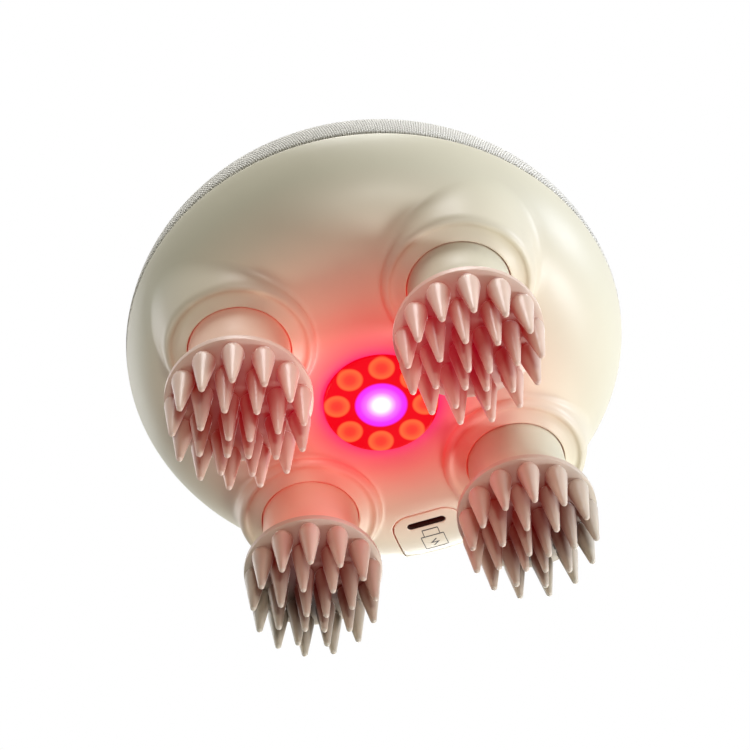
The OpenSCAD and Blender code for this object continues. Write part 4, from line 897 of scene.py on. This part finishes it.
# %% Red of the light window
WINDOW_R, WINDOW_Z = 12.1, 34.618
SPOT_RING, SPOT_PHASE, SPOT_COUNT, SPOT_REACH, CORE_REACH = 9.3, 17.2, 8, 5.0, 8.0
SPOT_COLOURS = [(0.0, (1.0, 0.045, 0.03)), (0.2, (1.0, 0.06, 0.032)), (0.45, (1.0, 0.15, 0.042)),
                (0.5, (1.0, 0.13, 0.04)), (0.58, (0.83, 0.0, 0.007))]
CORE_COLOURS = [(0.0, (1.0, 1.0, 1.0)), (0.22, (1.0, 1.0, 1.0)), (0.3, (0.92, 0.55, 1.0)),
                (0.4, (0.86, 0.2, 1.0)), (0.56, (0.82, 0.045, 1.0)), (0.64, (0.82, 0.03, 1.0))]
CORE_EDGE = [(0.655, (1, 1, 1)), (0.71, (0, 0, 0))]

recipe = Recipe("window_red", (0.10, 0.001, 0.004), roughness=0.3, Specular_IOR_Level=0.08)
from_spot = 1.0
for k in range(SPOT_COUNT):
    spot = on_circle((0.0, 0.0), SPOT_RING, math.radians(SPOT_PHASE + 360 * k / SPOT_COUNT))
    from_spot = recipe.math("MINIMUM", recipe.distance((*spot, WINDOW_Z), reach=SPOT_REACH), from_spot)
spots = recipe.ramp(from_spot, *SPOT_COLOURS)
from_middle = recipe.distance((0, 0, WINDOW_Z), reach=CORE_REACH)
core = recipe.ramp(from_middle, *CORE_COLOURS)
recipe.set("Emission Color", recipe.mix(recipe.ramp(from_middle, *CORE_EDGE), spots, core))
recipe.set("Emission Strength", 1.0)
recipe.uneven_gloss(scale=400, low=0.25, high=0.35)
window_red = recipe.material
print("window red:", SPOT_COUNT, "spots on a ring of", SPOT_RING, "mm")

# %% [markdown]
# The window's own shape is simple: a disc that stands in the bowl's hole, with a wider flange behind the
# bowl's wall that holds it. Only its front edge is seen, and that one is rounded.

# %% Light window
FLANGE_Z, LENS_TOP_Z, LENS_BACK_Z, LENS_FLANGE_R, LENS_BACK_R = 37.62, 38.2, 36.0, 13.5, 10.5
lens_outline = soften([(0.0, WINDOW_Z), (WINDOW_R, WINDOW_Z, 0.7), (WINDOW_R, FLANGE_Z),
                       (LENS_FLANGE_R, FLANGE_Z), (LENS_FLANGE_R, LENS_TOP_Z), (LENS_BACK_R, LENS_TOP_Z),
                       (LENS_BACK_R, LENS_BACK_Z, 0.3), (0.0, LENS_BACK_Z)], 5)
window = add_piece("light_lens", spin(lens_outline, WINDOW_COLUMNS), "housing", window_red,
                   ["light_window"], crisp=50)
print("window:", len(window.data.polygons), "faces")

# %% [markdown]
# The dome wears a knitted cover that is pulled over it and tucked into the joint. It is a closed skin,
# about one millimetre thick, with a rolled hem at the bottom and a hole for the button at the top. Its
# rows lie close together at the hem, where the dome is steep.

# %% Outline of the knitted cover
COVER_R, DOME_Z, DOME_H, DOME_ROUND, CLOTH = 54.2, 53.118, 33.6, 2.1, 1.0
COVER_HOLE_R, COVER_COLUMNS = 9.5, 360
HEM_ANGLE, ROW_ANGLE, COVER_ROWS = 88.5, 1.3, 61


def dome_z(r):
    """Height of the cloth's outer face at a radius."""
    return DOME_Z + DOME_H * max(0.0, 1 - (r / COVER_R) ** DOME_ROUND) ** (1 / DOME_ROUND)


reaches = [COVER_R * math.sin(math.radians(HEM_ANGLE - ROW_ANGLE * i)) for i in range(COVER_ROWS)]
outer_face = [(r, dome_z(r)) for r in reaches if r > COVER_HOLE_R + 0.3]
inner_face = [(r - CLOTH * (r / COVER_R) ** 2, z - CLOTH * (1 - (r / COVER_R) ** 4)) for r, z in outer_face]
top_z = outer_face[-1][1]
hem = soften([inner_face[0], (COVER_R - 1.0, DOME_Z + 0.15, 0.5), (COVER_R - 0.1, DOME_Z + 0.1, 0.6),
              outer_face[0]], 4)
top_hem = soften([outer_face[-1], (COVER_HOLE_R, top_z + 0.02, 0.25), (COVER_HOLE_R, top_z - CLOTH, 0.25),
                  inner_face[-1]], 3)
cloth_outline = hem[:-1] + outer_face + top_hem[1:-1] + inner_face[:0:-1]
print("cloth outline:", len(cloth_outline), "points, from radius", COVER_HOLE_R, "to", COVER_R)

# %% [markdown]
# Knitting can be modelled loop by loop, but here some 12,000 stitches are little more than a millimetre
# wide, so the knit is a relief and colour pattern. A stitch shows as a V: two legs that lean towards each
# other. Columns of Vs, called wales, run up the cloth, and rows of them, called courses, run across it. The
# recipe folds the cloth's place into one stitch, tells how far a point is from the middle of its leg, and
# turns that into the height of a rounded thread, with painted shade that darkens the gaps beside it.

# %% Knit material
WALE, COURSE, LEG_LEAN, WANDER = 1.25, 1.05, 0.85, 0.5
THREAD_SHARE, FLUFF_SHARE = 0.85, 0.3
YARN_AND_GAP_SHADE_COLOURS = [(0.12, (0.25, 0.22, 0.16)), (0.5, (0.64, 0.61, 0.52)), (0.9, (0.86, 0.84, 0.77))]

recipe = Recipe("knit_cloth", (0.60, 0.565, 0.49), roughness=0.85, Sheen_Weight=0.4, Sheen_Roughness=0.4,
                Specular_IOR_Level=0.2)
spread = recipe.nodes.new("ShaderNodeAttribute")
spread.attribute_name = "cloth_place"
u, v, _ = recipe.split(spread.outputs["Vector"])
wander = recipe.math("MULTIPLY_ADD", recipe.noise(260, 2.0), WANDER, -WANDER / 2)
side = recipe.math("PINGPONG", recipe.math("MULTIPLY_ADD", u, 1 / WALE, wander), 0.5)
across = recipe.math("MULTIPLY_ADD", side, 4.0, -1.0)
rows_up = recipe.math("DIVIDE", v, COURSE)
course = recipe.math("FRACT", recipe.math("MULTIPLY_ADD", side, 2 * LEG_LEAN, rows_up))
along = recipe.math("MULTIPLY_ADD", course, 2.0, -1.0)
round_across = recipe.math("SUBTRACT", 1.0, recipe.math("MULTIPLY", across, across), clamp=True)
end_of_leg = recipe.math("POWER", recipe.math("ABSOLUTE", along), 3.0)
round_along = recipe.math("SUBTRACT", 1.0, end_of_leg, clamp=True)
thread = recipe.math("SQRT", recipe.math("MULTIPLY", round_across, round_along))
thread_height = recipe.math("MULTIPLY", thread, THREAD_SHARE)
fluff = recipe.math("MULTIPLY_ADD", recipe.noise(4200, 4.0), FLUFF_SHARE, thread_height, clamp=True)
# the colour follows the thread's height: darker in the gaps as painted shade
recipe.set("Base Color", recipe.ramp(fluff, *YARN_AND_GAP_SHADE_COLOURS))
recipe.relief(fluff, strength=1.0, depth=0.35)
cloth = recipe.material

knit_cover = add_piece("knit_cover", spin(cloth_outline, COVER_COLUMNS, closed=True), "housing", cloth,
                       ["fabric_cover"], crisp=180)
print("knitted cover:", len(knit_cover.data.polygons), "faces")

# %% [markdown]
# The pattern has to lie straight on the flat cloth and bend with the dome, so each point of the mesh
# remembers its place on the flat cloth, in an attribute that the material reads. That place is the way from
# the top of the dome down to the point, laid out in the point's own direction. The same way, down to the
# hem, is the radius of the disc that the cover is cut from. The pattern is turned a little, because the
# cloth isn't pulled on quite straight.

# %% Places on the flat cloth
KNIT_TURN, CUT_R = 20.0, 71.0
laid = [(0.0, dome_z(0), 0.0)]
for r, z in reversed(outer_face):
    laid.append((r, z, laid[-1][2] + math.dist(laid[-1][:2], (r, z))))


def cloth_way(r, z):
    """The way over the dome from its top down to the nearest point of the outer face, in millimetres."""
    nearest = min(laid, key=lambda point: math.dist(point[:2], (r, z)))
    return nearest[2] + max(0.0, laid[-1][1] - z)


ways, values = {}, []
for vertex in knit_cover.data.vertices:
    x, y, z = (c / MM for c in vertex.co)
    row = (round(math.hypot(x, y), 3), round(z, 3))
    if row not in ways:
        ways[row] = cloth_way(*row)
    values += [*on_circle((0.0, 0.0), ways[row], math.atan2(y, x) - math.radians(KNIT_TURN)), 0.0]
place_on_cloth = knit_cover.data.attributes.new("cloth_place", "FLOAT_VECTOR", "POINT")
place_on_cloth.data.foreach_set("vector", values)
print("way over the dome:", round(max(ways.values()), 1), "mm")

# %% [markdown]
# On top sit the power button and its bezel, both satin plastic. The bezel is a ring that pins the cloth
# down, with a rolled edge. The button's face is dished for a fingertip. It has a skirt and a stem, which
# only show when it is taken apart.

# %% Power button and bezel
BEZEL_TOP, BEZEL_FOOT, BEZEL_R, BEZEL_INNER_R, BEZEL_BORE_Z = 87.118, 82.92, 9.2, 8.2, 85.5
FLANGE_R, FLANGE_FOOT_Z, BEZEL_SLOPE, BEZEL_COLUMNS = 11.0, 86.42, 0.12, 128
bezel_face = soften([(BEZEL_INNER_R, BEZEL_BORE_Z), (BEZEL_INNER_R, BEZEL_TOP, 0.3),
                     (FLANGE_R - 0.5, BEZEL_TOP - BEZEL_SLOPE, 0.6), (FLANGE_R, FLANGE_FOOT_Z, 0.3),
                     (BEZEL_R, FLANGE_FOOT_Z)], 5)
bezel_outline = [(BEZEL_INNER_R, BEZEL_FOOT)] + bezel_face + [(BEZEL_R, BEZEL_FOOT)]
add_piece("button_ring", spin(bezel_outline, BEZEL_COLUMNS, closed=True), "housing", satin,
          ["button_bezel"])

BUTTON_R, BUTTON_TOP, BUTTON_SIDE_Z, BUTTON_COLUMNS, DISH_R, DISH_DEPTH = 8.0, 87.318, 86.0, 96, 6.6, 0.3
CATCH_R, CATCH_H, CATCH_DROP, SKIRT_R, SKIRT_Z, STEM_R = 9.0, 0.9, 1.2, 6.8, 84.918, 2.0
stem_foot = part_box("power_button")[0][2] / MM
catch_foot = BEZEL_FOOT - CATCH_DROP


def dish_z(x, y=0.0):
    """Height of the button's dished face."""
    return BUTTON_TOP - DISH_DEPTH * (1 - (x * x + y * y) / DISH_R ** 2)


dish = [(r, dish_z(r)) for r in (0.0, 1.5, 3.0, 4.5, 5.6, DISH_R)]
shoulder = soften([(DISH_R, BUTTON_TOP), (BUTTON_R, BUTTON_TOP, 0.45), (BUTTON_R, BUTTON_SIDE_Z)], 5)
skirt = [(BUTTON_R, catch_foot + CATCH_H), (CATCH_R, catch_foot + CATCH_H), (CATCH_R, catch_foot),
         (SKIRT_R, catch_foot), (SKIRT_R, SKIRT_Z), (STEM_R, SKIRT_Z), (STEM_R, stem_foot), (0.0, stem_foot)]
add_piece("power_key", spin(dish + shoulder[1:] + skirt, BUTTON_COLUMNS), "button", satin,
          ["power_button"], crisp=35)
print("button dish:", round(BUTTON_TOP - dish_z(0), 2), "mm deep; stem to z", round(stem_foot, 2))

# %% [markdown]
# The button carries the usual on and off sign: an open ring with a stroke. It is printed with the same ink
# and the same ribbons as the charging symbol, and it follows the dish.

# %% Power sign
SIGN_R, SIGN_OPEN, SIGN_STEPS, SIGN_LINE, SIGN_PROUD = 2.1, 36, 40, 0.36, 0.03
STROKE = [(0, 0.5), (0, 1.6), (0, 2.7)]
arc = [on_circle((0.0, 0.0), SIGN_R, math.radians(90 + SIGN_OPEN + (360 - 2 * SIGN_OPEN) * k / SIGN_STEPS))
       for k in range(SIGN_STEPS + 1)]
sign = Skin()
for line in (arc, STROKE):
    ribbon(sign, line, SIGN_LINE, dish_z, SIGN_PROUD, -SUNK)
add_piece("power_sign", sign, "button", ink_and_slot_shade, [], crisp=30)
print("power sign:", len(sign.faces), "faces")

# %% [markdown]
# All other pieces keep their solid shape and only need a finish. They fall into a few families: turned
# metal, moulded plastic, rubber, lacquered circuit board and the printed sleeve of the cells. One recipe
# with different numbers is enough: a slightly mottled colour, uneven gloss and a fine grain.

# %% Finishes of the pieces inside
def plain_finish(name, colour, roughness, grain, strength, **sockets):
    """A moulded, machined or lacquered finish."""
    recipe = Recipe(name, colour, roughness, **sockets)
    recipe.set("Base Color", recipe.mottled(120, 0.07))
    recipe.uneven_gloss(scale=500, low=roughness - 0.07, high=roughness + 0.08)
    recipe.relief(recipe.noise(grain, 2.0), strength, depth=0.05)
    return recipe.material


finishes = {
    "dark_rubber": plain_finish("joint_rubber", (0.02, 0.018, 0.014), 0.6, 3000, 0.2),
    "frame_plastic": plain_finish("frame_plastic_grey", (0.50, 0.51, 0.53), 0.5, 3000, 0.1),
    "gear_plastic": plain_finish("gear_acetal", (0.80, 0.80, 0.76), 0.35, 3000, 0.06),
    "steel": plain_finish("turned_steel", (0.60, 0.60, 0.62), 0.3, 2500, 0.05, Metallic=1.0),
    "bearing_brass": plain_finish("turned_brass", (0.70, 0.50, 0.22), 0.3, 2500, 0.05, Metallic=1.0),
    "circuit_board": plain_finish("board_green", (0.02, 0.16, 0.07), 0.3, 1500, 0.15, Coat_Weight=0.3),
    "emitter": plain_finish("emitter_body", (0.85, 0.80, 0.62), 0.3, 3000, 0.05),
    "cell_wrap": plain_finish("cell_sleeve", (0.03, 0.14, 0.42), 0.25, 800, 0.1),
    "chip_plastic": plain_finish("chip_black", (0.02, 0.02, 0.022), 0.45, 3000, 0.1),
    "plunger_plastic": plain_finish("plunger_ivory", (0.76, 0.73, 0.62), 0.4, 3000, 0.05),
    "shell_plastic": satin,
    "red_window": window_red,
    "pad_silicone": silicone,
    "knit_fabric": cloth,
}
for part in frame["record"]["subparts"]:
    solid = frame["nodes"][part["node"]]
    solid.data.materials.clear()
    solid.data.materials.append(finishes[part["material_slot"]])

# %% [markdown]
# A studio lights a pale object with large soft lamps. A lamp's power says little by itself, because the
# light also falls with the distance. So each lamp has a level: 1 means that a white card facing the lamp
# would look white. The key light comes from one side and from below, grazes the bowl and shows its shape.
# The lamps on that side are a little cooler than those across from them, as daylight and room light are.
# The others fill the shadows, light the dome and draw pale edges on the spikes.

# %% Studio lamps
LAMP_DISTANCE, LAMP_AIM = 0.6, (0, 0, 0.04)
WHITE, WARM, COOL, SKY = (1.0, 1.0, 1.0), (1.0, 0.98, 0.90), (0.90, 0.93, 1.0), (0.82, 0.87, 1.0)
# name, direction from the object, level, width of the lamp in metres, colour
LAMPS = [("key_light", (-0.81, -0.22, -0.54), 0.66, 0.12, COOL),
         ("side_light", (-0.96, 0.00, 0.10), 0.54, 0.20, SKY),
         ("front_light", (-0.26, -0.84, -0.46), 0.48, 0.20, WARM),
         ("front_top_light", (0.20, -0.90, 0.28), 0.34, 0.30, WHITE),
         ("far_light", (0.80, 0.05, -0.45), 0.20, 0.12, WARM),
         ("far_top_light", (0.87, -0.20, 0.43), 0.22, 0.40, WHITE),
         ("back_light", (-0.30, 0.74, -0.60), 0.28, 0.08, WARM),
         ("back_top_light", (-0.20, 0.74, 0.64), 0.62, 0.30, WHITE),
         ("top_light", (-0.05, 0.15, 0.95), 0.80, 0.45, WHITE)]


def hang_lamp(name, kind, place, power, colour):
    """Hangs a lamp that the camera doesn't see, and returns its holder."""
    lamp = bpy.data.lights.new(name, kind)
    lamp.energy = power
    lamp.color = colour
    holder = put_in_scene(name, lamp)
    holder.location = place
    holder.visible_camera = False
    return holder


for name, towards, level_of_light, width, colour in LAMPS:
    direction = Vector(towards).normalized()
    power = level_of_light * math.pi ** 2 * LAMP_DISTANCE ** 2
    holder = hang_lamp(name, "AREA", Vector(LAMP_AIM) + direction * LAMP_DISTANCE, power, colour)
    holder.rotation_euler = direction.to_track_quat("Z", "Y").to_euler()
    holder.data.shape = "DISK"
    holder.data.size = width
print("studio lamps:", len(LAMPS))

# %% [markdown]
# The window lights the pads and collars around it in red, so a small red lamp hangs a little below it. A
# second one, below the spikes, stands for the red light that comes back from the scalp. They leave no
# highlights of their own.

# %% Red light of the window
RED, RED_LAMP_R = (1.0, 0.0, 0.0), 0.006
# name, place in metres and power in watts
RED_LAMPS = [("window_light", (0, 0, 0.023), 0.0018), ("returned_light", (0, 0.020, -0.015), 0.001)]
for name, place, power in RED_LAMPS:
    holder = hang_lamp(name, "POINT", place, power, RED)
    holder.data.shadow_soft_size = RED_LAMP_R
    holder.visible_glossy = False
    print(name, "at", place, "with", power, "W")

# %% [markdown]
# The world is white to the eye and in reflections, but gives less light than it shows, so that shadows keep
# their depth. Each kind of ray that should see white raises the strength to 1 in its turn.

# %% World
WORLD_LIGHT = 0.06
world = bpy.data.worlds.new("white_room")
bpy.context.scene.world = world
world.use_nodes = True
background = world.node_tree.nodes["Background"]
background.inputs["Color"].default_value = (1, 1, 1, 1)
path = world.node_tree.nodes.new("ShaderNodeLightPath")
strength = background.inputs["Strength"]
for ray in ("Is Camera Ray", "Is Glossy Ray", "Is Transmission Ray"):
    larger = world.node_tree.nodes.new("ShaderNodeMath")
    larger.operation = "MAXIMUM"
    larger.inputs[0].default_value = WORLD_LIGHT
    world.node_tree.links.new(path.outputs[ray], larger.inputs[1])
    world.node_tree.links.new(larger.outputs[0], strength)
    strength = larger.inputs[0]
bpy.context.scene.view_settings.view_transform = "Standard"
print("world light:", WORLD_LIGHT)

# %% [markdown]
# The floor is a plain pale disc that the massager's longest spikes stand on, and it takes their shadow. Away
# from the massager it turns into plain white, so that it has no edge. Seen from below it is clear, and the
# camera can look up through it.

# %% Floor
FLOOR_R, FLOOR_Z, FLOOR_COLUMNS, WHITE_START, WHITE_REACH = 3000, -0.2, 96, 90, 260
recipe = Recipe("pale_floor", (0.86, 0.86, 0.85), roughness=0.7, Specular_IOR_Level=0.2)
recipe.set("Base Color", recipe.mottled(6, 0.01))
recipe.uneven_gloss(scale=40, low=0.65, high=0.75)


def mixed(share, one, other):
    """One shader, turning into another with the share."""
    mixer = recipe.nodes.new("ShaderNodeMixShader")
    for socket, output in zip(mixer.inputs, (share, one, other)):
        recipe.links.new(output, socket)
    return mixer.outputs[0]


seen = recipe.nodes.new("ShaderNodeLightPath").outputs["Is Camera Ray"]
away = recipe.math("MULTIPLY", seen, recipe.distance((0, 0, 0), WHITE_START, WHITE_REACH))
white = recipe.nodes.new("ShaderNodeEmission").outputs[0]
clear = recipe.nodes.new("ShaderNodeBsdfTransparent").outputs[0]
below = recipe.nodes.new("ShaderNodeNewGeometry").outputs["Backfacing"]
surface = mixed(below, mixed(away, recipe.shader.outputs[0], white), clear)
recipe.links.new(surface, recipe.nodes["Material Output"].inputs[0])
mesh = mesh_of("floor", circle(FLOOR_R, FLOOR_Z, FLOOR_COLUMNS), [list(range(FLOOR_COLUMNS))])
mesh.materials.append(recipe.material)
floor = put_in_scene("floor", mesh)
for kind in ("visible_diffuse", "visible_glossy", "visible_transmission", "visible_shadow"):
    setattr(floor, kind, False)
print("floor:", 2 * FLOOR_R * MM, "m across")

# %% [markdown]
